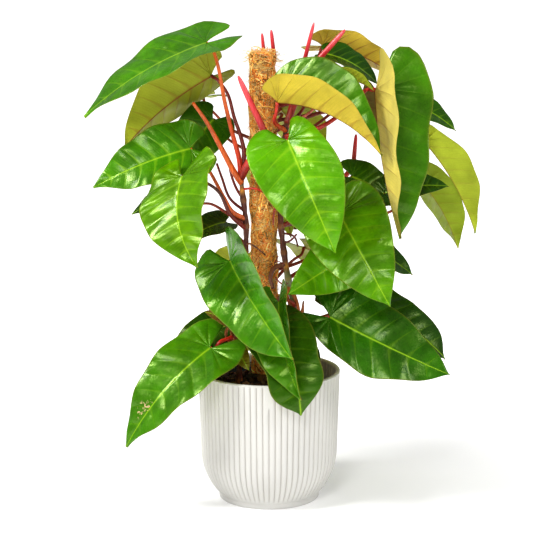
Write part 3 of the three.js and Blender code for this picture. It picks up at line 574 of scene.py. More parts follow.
LEAVES = {
    "top_left": placed((-94, -15, 706), (-274, -60, 600), (-0.33, -0.42, 0.85), "left", 500, (-45, -20, 531),
        (-55, -19, 570), (-67, -16, 620), (-77, -14, 674), width=0.9, fold=(5, 8), bow=0.045, sweep=0.03,
        lobe=0.8, cheek=(1.1, 0.9)),
    "top_left_under": placed((-87, 25, 654), (-222, 5, 544), (-0.4, 0.8, 0.4), "left", 502, (-38, -6, 540),
        (-44, 4, 567), (-53, 12, 592), (-63, 20, 627), width=1.12, fold=(25, 25), bow=0.08, lobe=0.65,
        cheek=(0.7, 0.95)),
    "mid_left": placed((-118, -35, 550), (-262, -60, 494), (-0.1, -0.8, 0.5), "left", 440, (-56, -22, 453),
        (-68, -26, 474), (-92, -26, 518), fold=(12, 10), bow=0.08, lobe=0.7, cheek=(1, 1.1), wave=0.02),
    "hanging_left": placed((-127, -100, 518), (-103, -170, 394), (-0.5, -0.8, 0.4), "left", 425,
        (-58, -36, 450), (-75, -52, 487), (-98, -72, 506), width=1.35, fold=(15, 12), sweep=0.08, lobe=0.8,
        cheek=(0.8, 1), wave=0.03),
    "behind_left": placed((-127, -20, 473), (-207, -35, 450), (-0.3, -0.6, 0.7), "left", 432, (-60, -6, 445),
        (-90, -4, 462)),
    "small_left": placed((-66, 5, 432), (-135, -30, 401), (-0.1, -0.6, 0.8), "left", 400, (-48, -8, 412),
        lobe=0.5),
    "back_left": placed((-86, 60, 584), (-146, 54, 498), (-0.1, -0.9, 0.4), "back", 520, (-30, 70, 532),
        (-66, 88, 552), width=1.25, fold=(10, 10), bow=0.12, lobe=0.6),
    "front_low": placed((-58, -75, 387), (34, -172, 259), (-0.3, -0.9, 0.2), "left", 330, (-50, -34, 350),
        (-54, -54, 376), width=1.05, fold=(10, 45), lobe=0.85, wave=0.02, blunt=0.5),
    "low_left": placed((-89, -65, 251), (-215, -105, 107), (-0.35, -0.8, 0.5), "left", 264, (-60, -38, 260),
        (-76, -50, 256), width=0.84, fold=(10, 10), bow=0.12, lobe=0.84, cheek=(0.95, 1.1), wave=0.02),
    "low_left_behind": placed((-82, -4, 267), (-167, -35, 186), (-0.2, -0.9, 0.5), "left", 236, (-58, -8, 250),
        width=0.9, lobe=0.7),
    "tiny_left": placed((-60, -38, 286), (-98, -44, 302), (0.4, -0.8, 0.5), "left", 276, (-52, -30, 282),
        fold=(15, 15), lobe=0.5),
    "low_middle": placed((15, -88, 327), (48, -148, 191), (-0.6, -0.8, 0.2), "right", 300, (36, -44, 316),
        (24, -66, 326), fold=(35, 40), lobe=0.7),
    "over_rim": placed((0, -60, 288), (47, -132, 163), (-0.1, -0.9, 0.5), "right", 250, (28, -36, 264),
        (10, -46, 278), width=1.08, fold=(10, 10), bow=0.16, sweep=-0.08, lobe=0.7, blunt=1),
    "small_right": placed((58, -44, 270), (84, -46, 276), (-0.4, -0.8, 0.5), "right", 240, (50, -38, 252),
        fold=(10, 10)),
    "low_right": placed((92, -50, 295), (274, -85, 213), (0.1, -0.85, 0.5), "right", 256, (54, -28, 262),
        (72, -22, 276), width=1.02, fold=(4, 6), bow=0.05, sweep=0.03, lobe=0.8, cheek=(0.6, 1), wave=0.02),
    "low_right_behind": placed((130, 45, 304), (276, 20, 212), (0.4, -0.6, 0.7), "right", 276, (60, 0, 278),
        (96, 34, 282), width=0.9, fold=(8, 8), blunt=0.7),
    "cupped_right": placed((127, 0, 387), (27, -75, 335), (0.4, -0.8, 0.4), "right", 350, (60, 4, 364),
        (95, 12, 378), width=1.1, fold=(8, 8), bow=0.08, lobe=0.7),
    "centre_right": placed((106, -45, 453), (178, -125, 327), (-0.2, -0.9, 0.4), "right", 430, (45, -12, 440),
        (76, -16, 448), width=1.2, fold=(4, 6), lobe=0.9, cheek=(1, 1.08), wave=0.02),
    "front_centre": placed((27, -80, 568), (97, -135, 408), (-0.1, -1, 0.3), "right", 520, (20, -34, 534),
        (22, -52, 550), width=1.15, fold=(8, 8), lobe=0.6, cheek=(1, 0.68), wave=0.015),
    "top_centre": placed((12, -50, 621), (166, -90, 545), (0.3, -0.3, 0.9), "right", 575, (8, -34, 590),
        width=1.38, fold=(56, 62), bow=0.12, lobe=0.5),
    "top_right": placed((81, 55, 697), (206, 80, 640), (0.1, 0.6, 0.8), "right", 588, (36, 2, 612),
        (56, 30, 664), width=0.85, fold=(20, 20), lobe=0.7),
    "right_folded": placed((159, -20, 637), (196, -55, 415), (0.8, -0.6, 0.2), "right", 566, (70, -22, 578),
        (96, -20, 592), (130, -24, 622), width=1.16, fold=(54, 50), bow=0, sweep=0.055, lobe=0.9),
    "far_right_tip": placed((206, 60, 610), (287, 40, 568), (0.3, -0.6, 0.7), "back", 580, (60, 66, 590),
        (140, 72, 600), fold=(10, 10)),
    "far_right": placed((236, 15, 556), (315, -5, 416), (0.7, 0.6, 0.3), "back", 560, (60, 45, 590),
        (150, 38, 610), (200, 28, 590), width=0.92, fold=(38, 50), bow=0.07, lobe=0.7, cheek=(0.6, 0.9)),
    "far_right_low": placed((237, 48, 487), (294, 44, 384), (0.7, 0.7, 0.3), "back", 415, (60, 56, 424),
        (150, 48, 428), (214, 30, 462), width=1.2, fold=(20, 20), bow=0.08),
    "right_point": placed((177, 5, 477), (274, -10, 489), (-0.2, -0.7, 0.7), "right", 470, (60, 4, 474),
        (120, 12, 472), fold=(14, 14)),
    "right_inner": placed((128, 50, 496), (201, 55, 449), (0.4, -0.8, 0.5), "right", 476, (60, 24, 484),
        (100, 42, 488), width=1.2, fold=(8, 8)),
    "top_right_dark": placed((86, 22, 687), (165, 10, 641), (0.4, -0.5, 0.8), "right", 582, (50, 6, 604),
        (72, 16, 662), width=1.1, fold=(14, 14), lobe=0.5),
    "top_inner": placed((102, -42, 656), (155, -48, 637), (0.4, -0.1, 0.9), "right", 580, (62, -20, 604),
        (84, -28, 630), width=1.2, fold=(60, 50), lobe=0.6),
    "brown": placed((140, 8, 628), (171, -2, 544), (-0.5, 0.8, -0.3), "right", 560, (60, -10, 576),
        (108, -14, 612), width=1.1, fold=(10, 10), bow=0.08, lobe=0.6),
    "rim_left": placed((-47, -50, 244), (-30, -72, 217), (-0.2, -0.8, 0.5), "left", 222, (-47, -36, 230),
        width=1.1, fold=(10, 10)),
    "rim_right": placed((60, -42, 242), (76, -62, 212), (-0.2, -0.9, 0.5), "right", 215, (50, -30, 226),
        width=1.2, fold=(10, 10)),
    "back_top": placed((-104, 116, 614), (-196, 170, 552), (-0.3, 0.5, 0.8), "back", 545, (-24, 64, 552),
        (-62, 100, 566), (-88, 114, 590), fold=(14, 14), bow=0.12, wave=0.02),
    "back_high_right": placed((18, 100, 597), (63, 180, 449), (0.4, 0.6, 0.7), "back", 550, (6, 62, 570),
        (20, 84, 590), fold=(14, 14), bow=0.12, wave=0.02),
    "back_middle": placed((9, 105, 503), (37, 190, 375), (-0.1, 0.8, 0.5), "back", 450, (-4, 62, 464),
        (4, 84, 486), bow=0.12, wave=0.02),
    "back_right": placed((111, 90, 388), (230, 110, 328), (0.3, -0.6, 0.7), "back", 345, (40, 62, 356),
        (84, 82, 372), fold=(10, 10)),
    "back_left_low": placed((-49, 80, 356), (-77, 150, 222), (-0.2, 0.8, 0.6), "back", 310, (-20, 58, 330),
        (-38, 68, 346), bow=0.12, wave=0.02),
    "back_right_low": placed((56, 105, 376), (126, 185, 266), (0.3, 0.7, 0.6), "back", 318, (14, 64, 336),
        (38, 86, 358), bow=0.12, wave=0.02),
    "back_over_rim": placed((-20, 90, 290), (-40, 165, 180), (-0.1, 0.8, 0.6), "back", 250, (-12, 62, 266),
        (-18, 76, 278), bow=0.14, wave=0.02),
}
print(len(LEAVES), "leaves")

# %% Where the rolled leaves and the stems are
SPIKES = {
    "left_front": dict(stalk=("left", 503, (-30, -36, 530)), foot=(-6, -46, 574), tip=(-46, -50, 660),
        radius=5.6),
    "pole_left": dict(stalk=("back", 632, (-12, 38, 660)), foot=(-8, 34, 688), tip=(-11, 32, 718), radius=3.2),
    "pole_right": dict(stalk=("back", 636, (4, 38, 665)), foot=(7, 36, 686), tip=(3, 34, 723), radius=3.6),
    "right_tall": dict(stalk=("right", 590, (40, -6, 636)), foot=(52, -4, 676), tip=(67, -4, 736), radius=3.6),
    "right_thick": dict(stalk=("right", 586, (44, -12, 632)), foot=(64, -15, 671), tip=(113, -18, 726),
        radius=5),
    "back_small": dict(stalk=("back", 600, (90, 50, 630)), foot=(134, 52, 656), tip=(138, 52, 676), radius=3.6),
    "back_low": dict(stalk=("back", 430, (60, 76, 450), (110, 86, 482)), foot=(133, 88, 519),
        tip=(136, 88, 558), radius=4),
}
STEMS = {
    "left": ((-46, -24, 150), (-46, -24, 200), (-46, -24, 260), (-41, -20, 340), (-35, -15, 423),
        (-41, -14, 485), (-43, -14, 504)),
    "right": ((44, -26, 150), (44, -26, 200), (40, -24, 300), (31, -24, 340), (25, -24, 373), (17, -21, 445),
        (18, -19, 510), (24, -18, 570), (28, -16, 592)),
    "back": ((-6, 44, 150), (-6, 44, 250), (-9, 46, 400), (-5, 44, 600), (0, 42, 640)),
}
print(len(SPIKES), "rolled leaves and", len(STEMS), "stems")

# %% [markdown]
# All blades share one outline, given as shares of their length. Rows of the grid run from the midrib to
# the edge along the side veins, so that the faces follow a vein and none is cut by it. A square grid would
# be simpler, but its veins would run across the faces as steps.

# %% The form of a blade
EDGE = outline_curve([(1, 0), (0.96, 0.02), (0.89, 0.075), (0.77, 0.15), (0.62, 0.22), (0.45, 0.275),
                      (0.28, 0.308), (0.12, 0.32), (-0.02, 0.31), (-0.14, 0.28), (-0.24, 0.225), (-0.29, 0.16),
                      (-0.26, 0.105)])
JOINT_SHARE, BLADE_HALF = 0.6, 0.45
VEINS = np.array([0.12, 0.21, 0.30, 0.39, 0.475, 0.555, 0.66, 0.76, 0.87])
FINE_COLUMNS = np.array([0, 0.018, 0.04, 0.075, 0.13, 0.2, 0.28, 0.37, 0.47, 0.57, 0.67, 0.77, 0.86, 0.93,
                         0.975, 1])
PLAIN_COLUMNS = np.array([0, 0.03, 0.09, 0.2, 0.36, 0.54, 0.72, 0.87, 0.96, 1])


def blade_frame(leaf):
    """The joint, length and midrib of a leaf, the way its top faces, and its right-hand side."""
    joint, tip = np.array(leaf["joint"], float), np.array(leaf["tip"], float)
    length = np.linalg.norm(tip - joint)
    axis = (tip - joint) / length
    face = np.array(leaf["face"], float)
    normal = unit(face - axis * face.dot(axis))
    return joint, length, axis, normal, np.cross(axis, normal)


def blade_place(leaf, along, out, side, lift=0.0):
    """The middle of the blade at a share along the midrib and a share of the length out from it, in mm."""
    joint, length, axis, normal, right = blade_frame(leaf)
    half = np.where(side > 0, 0, 1)
    u = np.where(along < 0, along * leaf["lobe"], along)
    angle, cheek = np.radians(leaf["fold"])[half], np.array(leaf["cheek"])[half]
    near_lobe = 1 - smooth(along, -0.1, 0.5)
    across = out * leaf["width"] * (1 + (cheek - 1) * near_lobe)
    across = across * (1 + leaf["blunt"] * smooth(along, 0.5, 0.95))
    curve = 4 * u * np.where(u > 0, 1 - u, 1)
    return (joint + length * (u[..., None] * axis
            + (side * across * np.cos(angle) + leaf["sweep"] * curve)[..., None] * right
            + (leaf["bow"] * curve + across * np.sin(angle) + lift)[..., None] * normal))


def blade_normal(leaf, along, out, side):
    """The way the upper skin faces, from small steps along and out."""
    e = 0.002
    forward = blade_place(leaf, along + e, out, side) - blade_place(leaf, along - e, out, side)
    outward = blade_place(leaf, along, out + e, side) - blade_place(leaf, along, np.maximum(out - e, 0), side)
    return unit(np.cross(outward * side[..., None], forward))


def blade_rows(fine):
    """Shares of the edge at which a row ends, close together beside a vein."""
    offsets = (-0.012, -0.004, 0.004, 0.012) if fine else (0,)
    near = np.concatenate([VEINS + o for o in offsets])
    between = np.concatenate([(VEINS[:-1] + VEINS[1:]) / 2, [0.004, 0.02, 0.045, 0.08, 0.16, 0.93, 0.97, 1]])
    fan = [JOINT_SHARE] if fine else []
    return np.unique(np.round(np.concatenate([near, between, fan]), 4))


print("a fine blade has", len(blade_rows(True)), "rows and a plain one", len(blade_rows(False)))


# %% The faces of a blade
def blade_faces(s, rows, columns):
    """Faces of a blade's two skins and its rim, and which of them are underside. At the tip the rows meet."""
    centre, lower = columns // 2, rows * columns
    index = np.arange(lower).reshape(rows, columns)
    fan = np.searchsorted(s, JOINT_SHARE)
    index[fan:, centre] = index[fan, centre]
    quads = np.stack([index[:-1, :-1], index[:-1, 1:], index[1:, 1:], index[1:, :-1]], -1).reshape(-1, 4)
    pinched_left, pinched_right = quads[:, 0] == quads[:, 3], quads[:, 1] == quads[:, 2]
    whole = quads[~(pinched_left | pinched_right)]
    slivers = np.concatenate([quads[pinched_left][:, [0, 1, 2]], quads[pinched_right][:, [0, 1, 3]]])
    loop = np.concatenate([index[0], index[1:, -1], index[-1, -2::-1], index[-2:0:-1, 0]])
    following = np.roll(loop, -1)
    rim = np.stack([loop, following, following + lower, loop + lower], -1)
    underside = np.repeat([0, 1, 0, 1], [len(whole), len(whole) + len(rim), len(slivers), len(slivers)])
    return [np.concatenate([whole[:, ::-1], whole + lower, rim]),
            np.concatenate([slivers[:, ::-1], slivers + lower])], underside


plain_rows = blade_rows(False)
print("a plain blade has", len(blade_faces(plain_rows, len(plain_rows), 2 * len(PLAIN_COLUMNS) - 1)[1]), "faces")

# %% [markdown]
# The real blade is thin, puffed up between its veins, and its midrib is a keel below. A Displace modifier
# could lift it from a picture. Here the lift is computed from the same veins that the finish will draw, so
# that form and colour fall together. A slow seeded wander keeps the blade from being too regular.

# %% The skin of a blade
VEIN_LENGTH, VEIN_WIDTH, RIB_WIDTH = 1.45, 0.9, 1.4


def blade_mesh(leaf, style, relief, worn_spot, fine, seed):
    """Corners in mm, faces, which face is underside, and the values the finish reads."""
    rnd = np.random.default_rng(seed)
    length = blade_frame(leaf)[1]
    s = blade_rows(fine)
    side_columns = FINE_COLUMNS if fine else PLAIN_COLUMNS
    share = np.concatenate([side_columns[::-1], side_columns[1:]])
    side = np.concatenate([-np.ones(len(side_columns) - 1), [1], np.ones(len(side_columns) - 1)])
    S, C = np.meshgrid(s, share, indexing="ij")
    side = np.broadcast_to(side, S.shape)
    margin = EDGE(S)
    spine = np.maximum(0, 1 - S / JOINT_SHARE)
    along = spine + (margin[..., 0] - spine) * C ** 1.3
    out = margin[..., 1] * C
    wave = leaf["wave"] * np.sin(24 * S + side) * C ** 2
    phase = rnd.uniform(0, 6.28, 4)
    slow = np.sin(7 * along + 9 * out * side + phase[0]) + np.sin(11 * along - 13 * out * side + phase[1])
    wander = 0.011 * slow * C + 0.003 * np.sin(23 * along + 17 * out * side + phase[2]) * C ** 0.5
    middle = blade_place(leaf, along, out, side, wave + wander * 0.6)
    normal = blade_normal(leaf, along, out, side)
    centre = len(side_columns) - 1
    other = blade_normal(leaf, along[:, centre], out[:, centre], -side[:, centre])
    normal[:, centre] = unit(normal[:, centre] + other)
    gap = np.abs(S[..., None] - VEINS).min(-1)
    count = np.interp(S, np.concatenate([[0], VEINS, [1]]), np.arange(len(VEINS) + 2))
    spacing = C * length * VEIN_LENGTH / np.interp(S, s, np.gradient(count[:, 0], s))
    vein = np.exp(-(gap * C * length * VEIN_LENGTH / VEIN_WIDTH) ** 2)
    vein = vein * (1 - C ** 6) * smooth(C, 0.01, 0.06) * fine * 0.7
    rib = np.exp(-(out * leaf["width"] * length / (RIB_WIDTH - 0.9 * np.clip(spine, 0, 1))) ** 2)
    rib = rib * (S < JOINT_SHARE + 0.01)
    pillow = np.clip(gap / 0.045, 0, 1)
    pillow = (1 - (1 - pillow) ** 2) * C ** 0.7 * (1 - C ** 5) * length * (0.0085 if fine else 0.004)
    thin = BLADE_HALF - 0.2 * smooth(C, 0.75, 1)
    above = thin + pillow - 0.3 * vein + 0.35 * rib * (S < JOINT_SHARE)
    keel = 1.5 * np.clip(1 - spine, 0.15, 1) * rib
    below = thin - pillow + 0.4 * vein + keel
    top, bottom = middle + normal * above[..., None], middle - normal * below[..., None]
    faces, underside = blade_faces(s, *S.shape)
    corners = np.concatenate([top.reshape(-1, 3), bottom.reshape(-1, 3)])
    marks = np.stack([rib, C, smooth(C, 0.965, 1)], -1).reshape(-1, 3)
    veins = np.stack([count, spacing, (1 - C ** 5) * relief], -1).reshape(-1, 3)
    worn = np.exp(-(((along - 0.68) / 0.09) ** 2 + ((out * side - 0.05) / 0.06) ** 2)) * worn_spot
    flat = np.stack([along * length, out * side * length, np.full_like(S, seed * 37.0)], -1).reshape(-1, 3) * MM
    values = dict(tint=np.repeat(style[:2], S.size, axis=0), rib_tint=np.repeat(style[2:], S.size, axis=0))
    for key, half in dict(marks=marks, flat=flat, veins=veins, worn=worn.ravel()).items():
        values[key] = np.concatenate([half, half])
    return corners, faces, underside, values


print("side veins are", VEIN_WIDTH, "mm wide and the midrib", RIB_WIDTH, "mm")

# %% [markdown]
# ## The leaf's finishes
# A leaf is glossy above and duller below. Both finishes read how far a corner lies from the veins and
# draw the lines themselves, which stays sharp at any distance. Painting every leaf by hand would need a
# picture for each. The gloss is tinted green, because a white gloss would make the leaves look milky.

# %% Lines and quilting that follow the veins
def vein_lines(f, repeats, thin, wide):
    """Lines along the side veins: one, or several fine ones, between each pair of veins."""
    count, spacing = f.read("veins", 0), f.read("veins", 1)
    phase = f.maths("FRACT", f.maths("ADD", f.times(count, repeats), 0.5))
    share = f.maths("ABSOLUTE", f.maths("SUBTRACT", phase, 0.5))
    away = f.maths("DIVIDE", f.times(share, spacing), repeats)
    line = f.times(f.span(away, thin, wide, 1.0, 0.0), f.span(share, 0.07, 0.16, 1.0, 0.0))
    return f.times(line, f.read("veins", 2))


def quilting(f):
    """The blade puffs up a little between two side veins."""
    phase = f.times(f.maths("FRACT", f.read("veins", 0)), math.pi)
    return f.times(f.maths("SINE", phase), f.read("veins", 2))


print("veins at shares of the edge:", VEINS)


# %% The leaf's two finishes
def leaf_top_finish():
    f = Finish("glossy_leaf_top", Specular_IOR_Level=0.5, Specular_Tint=(0.75, 1.0, 0.3, 1.0),
               Coat_Weight=0.14, Coat_Roughness=0.12)
    f.where, tint = f.read("flat"), f.read("tint")
    rib, edge = f.read("marks", 0), f.read("marks", 2)
    vein, fine = vein_lines(f, 1.0, 0.15, 0.75), vein_lines(f, 6.0, 0.05, 0.6)
    cloud = f.varied(f.noise(14, 3), 0.62, 1.3)
    grain = f.varied(f.noise(110, 4), 0.86, 1.12)
    body = f.tinted(tint, f.times(cloud, grain))
    yellowed = f.tinted(tint, (2.1, 1.45, 0.7))
    body = f.mix(f.span(f.noise(26, 3), 0.48, 0.8, 0.0, 0.5), body, yellowed)
    body = f.over(body, fine, 0.1, yellowed)
    body = f.over(body, vein, 0.2, f.read("rib_tint"))
    body = f.over(body, rib, 0.85, f.read("rib_tint"))
    speck = f.span(f.noise(420, 2), 0.72, 0.78)
    body = f.over(body, speck, 0.5, (0.12, 0.10, 0.03))
    body = f.over(body, edge, 0.5, (0.24, 0.20, 0.03))
    torn = f.span(f.noise(150, 5, 0.65, 0.8), 0.47, 0.6)
    worn = f.span(f.times(f.read("worn", 0), torn), 0.3, 0.5)
    body = f.mix(worn, body, (0.50, 0.36, 0.20))
    rough = f.varied(f.noise(45, 4), 0.2, 0.36)
    skin = f.bump(f.noise(900, 2), 0.00006, 0.4)
    lines = f.bump(f.maths("ADD", vein, f.times(fine, 0.35)), 0.0003, 0.4, skin)
    uneven = f.span(f.noise(22, 2), 0.35, 0.65, 0.1, 1.0)
    puffed = f.bump(f.times(quilting(f), uneven), 0.002, 0.7, lines)
    return f.done(body, rough, f.bump(f.noise(42, 3), 0.0024, 0.65, puffed))


def leaf_under_finish():
    f = Finish("matte_leaf_underside", Specular_IOR_Level=0.35, Specular_Tint=(1.0, 0.95, 0.5, 1.0))
    f.where, tint = f.read("flat"), f.read("tint")
    rib, edge = f.read("marks", 0), f.read("marks", 2)
    vein, fine = vein_lines(f, 1.0, 0.25, 0.95), vein_lines(f, 6.0, 0.05, 0.6)
    body = f.tinted(tint, f.varied(f.noise(20, 4), 0.78, 1.2))
    shaded = f.tinted(tint, (0.6, 0.68, 0.5))
    body = f.over(body, fine, 0.3, shaded)
    body = f.mix(f.span(f.cells(300), 0.0, 0.08, 0.25, 0.0), body, shaded)
    body = f.over(body, vein, 0.42, f.read("rib_tint"))
    body = f.over(body, rib, 0.95, f.read("rib_tint"))
    body = f.over(body, edge, 0.4, (0.20, 0.12, 0.03))
    rough = f.varied(f.noise(60, 4), 0.42, 0.6)
    raised = f.bump(f.maths("ADD", vein, f.times(fine, 0.3)), 0.0006, 0.7)
    return f.done(body, rough, f.bump(f.cells(300), 0.0003, 0.4, raised))


leaf_finishes = [leaf_top_finish(), leaf_under_finish()]
for finish in leaf_finishes:
    print(finish.name, len(finish.node_tree.nodes), "nodes")

# %% [markdown]
# ## Making every leaf
# New leaves are bright green, old ones dark, and the undersides run from olive to yellow, most with a red
# midrib. The tones are judged from the photo, and a small seeded shift keeps two leaves from being
# the same. Leaves that face the camera get a finer grid. The relief says how strongly the side veins show
# and the skin puffs up between them.

# %% Colours and relief of each leaf
PALE_RIB, RED_RIB, YELLOW_RIB = colour(150, 190, 38), colour(120, 34, 28), colour(150, 140, 50)
OLIVE_UNDER, YELLOW_UNDER = colour(158, 170, 48), colour(206, 182, 66)
TOPS = {"dark": colour(40, 88, 8), "deep": colour(30, 70, 9), "mid": colour(58, 112, 8),
        "grass": colour(74, 130, 5), "lime": colour(82, 126, 1), "fresh": colour(78, 140, 4),
        "olive": colour(112, 104, 28), "reddish": colour(112, 78, 38), "brown": colour(100, 74, 38)}
TONES = {"over_rim": "dark", "low_right": "dark", "rim_right": "deep", "centre_right": "grass",
         "hanging_left": "lime", "rim_left": "olive", "tiny_left": "reddish", "brown": "brown"}
TONES.update(dict.fromkeys(("cupped_right", "front_centre", "top_right"), "fresh"))
TONES.update(dict.fromkeys(("top_left", "top_left_under", "mid_left", "front_low", "low_left", "low_middle",
                            "top_centre", "right_folded", "far_right", "far_right_low"), "mid"))
UNDERSIDES = {"top_left_under": OLIVE_UNDER * 0.8, "hanging_left": YELLOW_UNDER, "top_centre": YELLOW_UNDER,
              "top_right": YELLOW_UNDER, "right_folded": colour(200, 190, 96), "brown": colour(120, 95, 50)}
YELLOW_RIBBED_BELOW = {"top_left", "far_right", "far_right_low"}
RELIEF = {"front_centre": 1.3, "hanging_left": 1.1, "mid_left": 1.2, "top_right": 1.1, "top_centre": 0.7,
          "low_left": 0.55, "low_right": 0.55, "low_right_behind": 0.55, "centre_right": 0.9,
          "cupped_right": 0.9, "front_low": 0.8, "top_left": 0.8}
FINE_LEAVES = {"top_left", "top_left_under", "mid_left", "hanging_left", "front_low", "low_left",
               "low_middle", "over_rim", "low_right", "low_right_behind", "cupped_right", "centre_right",
               "front_centre", "top_centre", "top_right", "right_folded", "far_right", "far_right_low",
               "right_point", "top_inner"}
print(len(FINE_LEAVES), "leaves get the finer grid")

# %% Every blade
face_count = 0
for seed, (name, leaf) in enumerate(LEAVES.items()):
    shift = np.random.default_rng(seed + 5).uniform(0.9, 1.12, 3)
    top = TOPS[TONES.get(name, "deep" if seed % 2 else "dark")] * shift
    under = UNDERSIDES.get(name, OLIVE_UNDER) * shift
    rib = YELLOW_RIB if name == "brown" else PALE_RIB
    style = (top, under, rib, YELLOW_RIB if name in YELLOW_RIBBED_BELOW else RED_RIB)
    corners, faces, underside, values = blade_mesh(leaf, style, RELIEF.get(name, 0.6), name == "low_left",
                                                   name in FINE_LEAVES, seed)
    blade = make_piece(f"blade_{name}", corners * MM, faces, leaf_finishes, "leaf", [f"leaf_{name}"],
                       underside, **values)
    face_count += len(blade.data.polygons)
print(len(LEAVES), "leaves,", face_count, "faces")

# %% [markdown]
# ## Stems, stalks and aerial roots
# Every leaf hangs on a stalk that leaves a climbing stem at a knot. The stalks are orange or dark red and
# swell at both ends. Bevelled curves would give the same round form, but a mesh keeps a colour at each
# corner, so that one finish can run from green through orange to dark brown.

# %% Colours and helpers for stalks
def on_stem(name, level):
    """The middle of a stem at a level."""
    curve, _ = space_curve(STEMS[name], 1600)
    return curve[np.searchsorted(curve[:, 2], level).clip(0, len(curve) - 1)]


STALK_END, END_PER_LENGTH, LAST_STEP = 1.3, 0.006, 15
ORANGE, BRIGHT_RED, DARK_RED = colour(205, 95, 35), colour(190, 45, 30), colour(120, 34, 26)
STEM_BROWN, STEM_GREEN, KNOT = colour(84, 36, 26), colour(120, 125, 80), colour(190, 130, 50)
SHEATH, ROOT = colour(150, 85, 40), colour(150, 50, 36)
STALK_COLOURS = {
    "top_left": (BRIGHT_RED, ORANGE), "top_left_under": (DARK_RED, DARK_RED), "mid_left": (ORANGE, ORANGE),
    "hanging_left": (DARK_RED, STEM_BROWN), "top_centre": (ORANGE, BRIGHT_RED),
    "top_right": (DARK_RED, DARK_RED), "right_folded": (BRIGHT_RED, BRIGHT_RED),
    "top_inner": (colour(205, 110, 95), colour(205, 110, 95)), "front_low": (BRIGHT_RED, DARK_RED),
    "low_left": (BRIGHT_RED, BRIGHT_RED), "low_right": (BRIGHT_RED, BRIGHT_RED),
}
stem_heaps = {name: Heap() for name in STEMS}


def taper(first, last):
    """A radius that runs evenly from one value to another."""
    return lambda share: first + (last - first) * share


def knee(radius):
    """A leaf stalk is thicker where it leaves the stem and has a small knee below the leaf."""
    return lambda share: radius * (1 + 0.7 * (1 - share) ** 2 + 0.25 * smooth(share, 0.93, 0.98))


def add_stalk(heap, points, radius_at, low, high):
    corners, faces, share = tube(points, radius_at)
    heap.add(corners * MM, faces, tint=low + (high - low) * smooth(share, 0, 0.6)[:, None],
             along=np.stack([share, share, share], -1))


print("a stalk below a 150 mm leaf is", STALK_END + END_PER_LENGTH * 150, "mm in radius")

# %% Leaf stalks, and the feet of the rolled leaves
for name, leaf in LEAVES.items():
    stem, level, *via = leaf["stalk"]
    joint, length = blade_frame(leaf)[:2]
    lean = 0.2 if min(leaf["fold"]) > 40 else 0.5
    zero, one = np.zeros(1), np.ones(1)
    upright = unit(blade_normal(leaf, zero, zero, one)[0] + blade_normal(leaf, zero, zero, -one)[0])
    midrib = unit((blade_place(leaf, zero + 0.02, zero, one) - blade_place(leaf, zero, zero, one))[0])
    arrival = unit(upright + lean * midrib)
    end = joint - upright * 0.6
    path = [on_stem(stem, level), *via, end - LAST_STEP * arrival, end - LAST_STEP / 2 * arrival, end]
    low, high = STALK_COLOURS.get(name, (DARK_RED, colour(150, 60, 34)))
    add_stalk(stem_heaps[stem], path, knee(STALK_END + END_PER_LENGTH * length), low, high)

for name, spike in SPIKES.items():
    stem, level, *via = spike["stalk"]
    start, tip = np.array(spike["foot"], float), np.array(spike["tip"], float)
    heading = unit(tip - start)
    end = start - heading * 0.3
    add_stalk(stem_heaps[stem], [on_stem(stem, level), *via, end - 8 * heading, end],
              taper(1.1 * spike["radius"], spike["radius"]), DARK_RED, colour(205, 60, 55))
print(len(LEAVES) + len(SPIKES), "stalks")

# %% [markdown]
# Older knots carry dried sheaths, stubs of lost leaves and aerial roots that reach for the coir. They are
# tapering tubes like the stalks, each given by its stem, level, way, two radii and a colour. Sculpting
# would look richer, but couldn't be repeated from numbers.

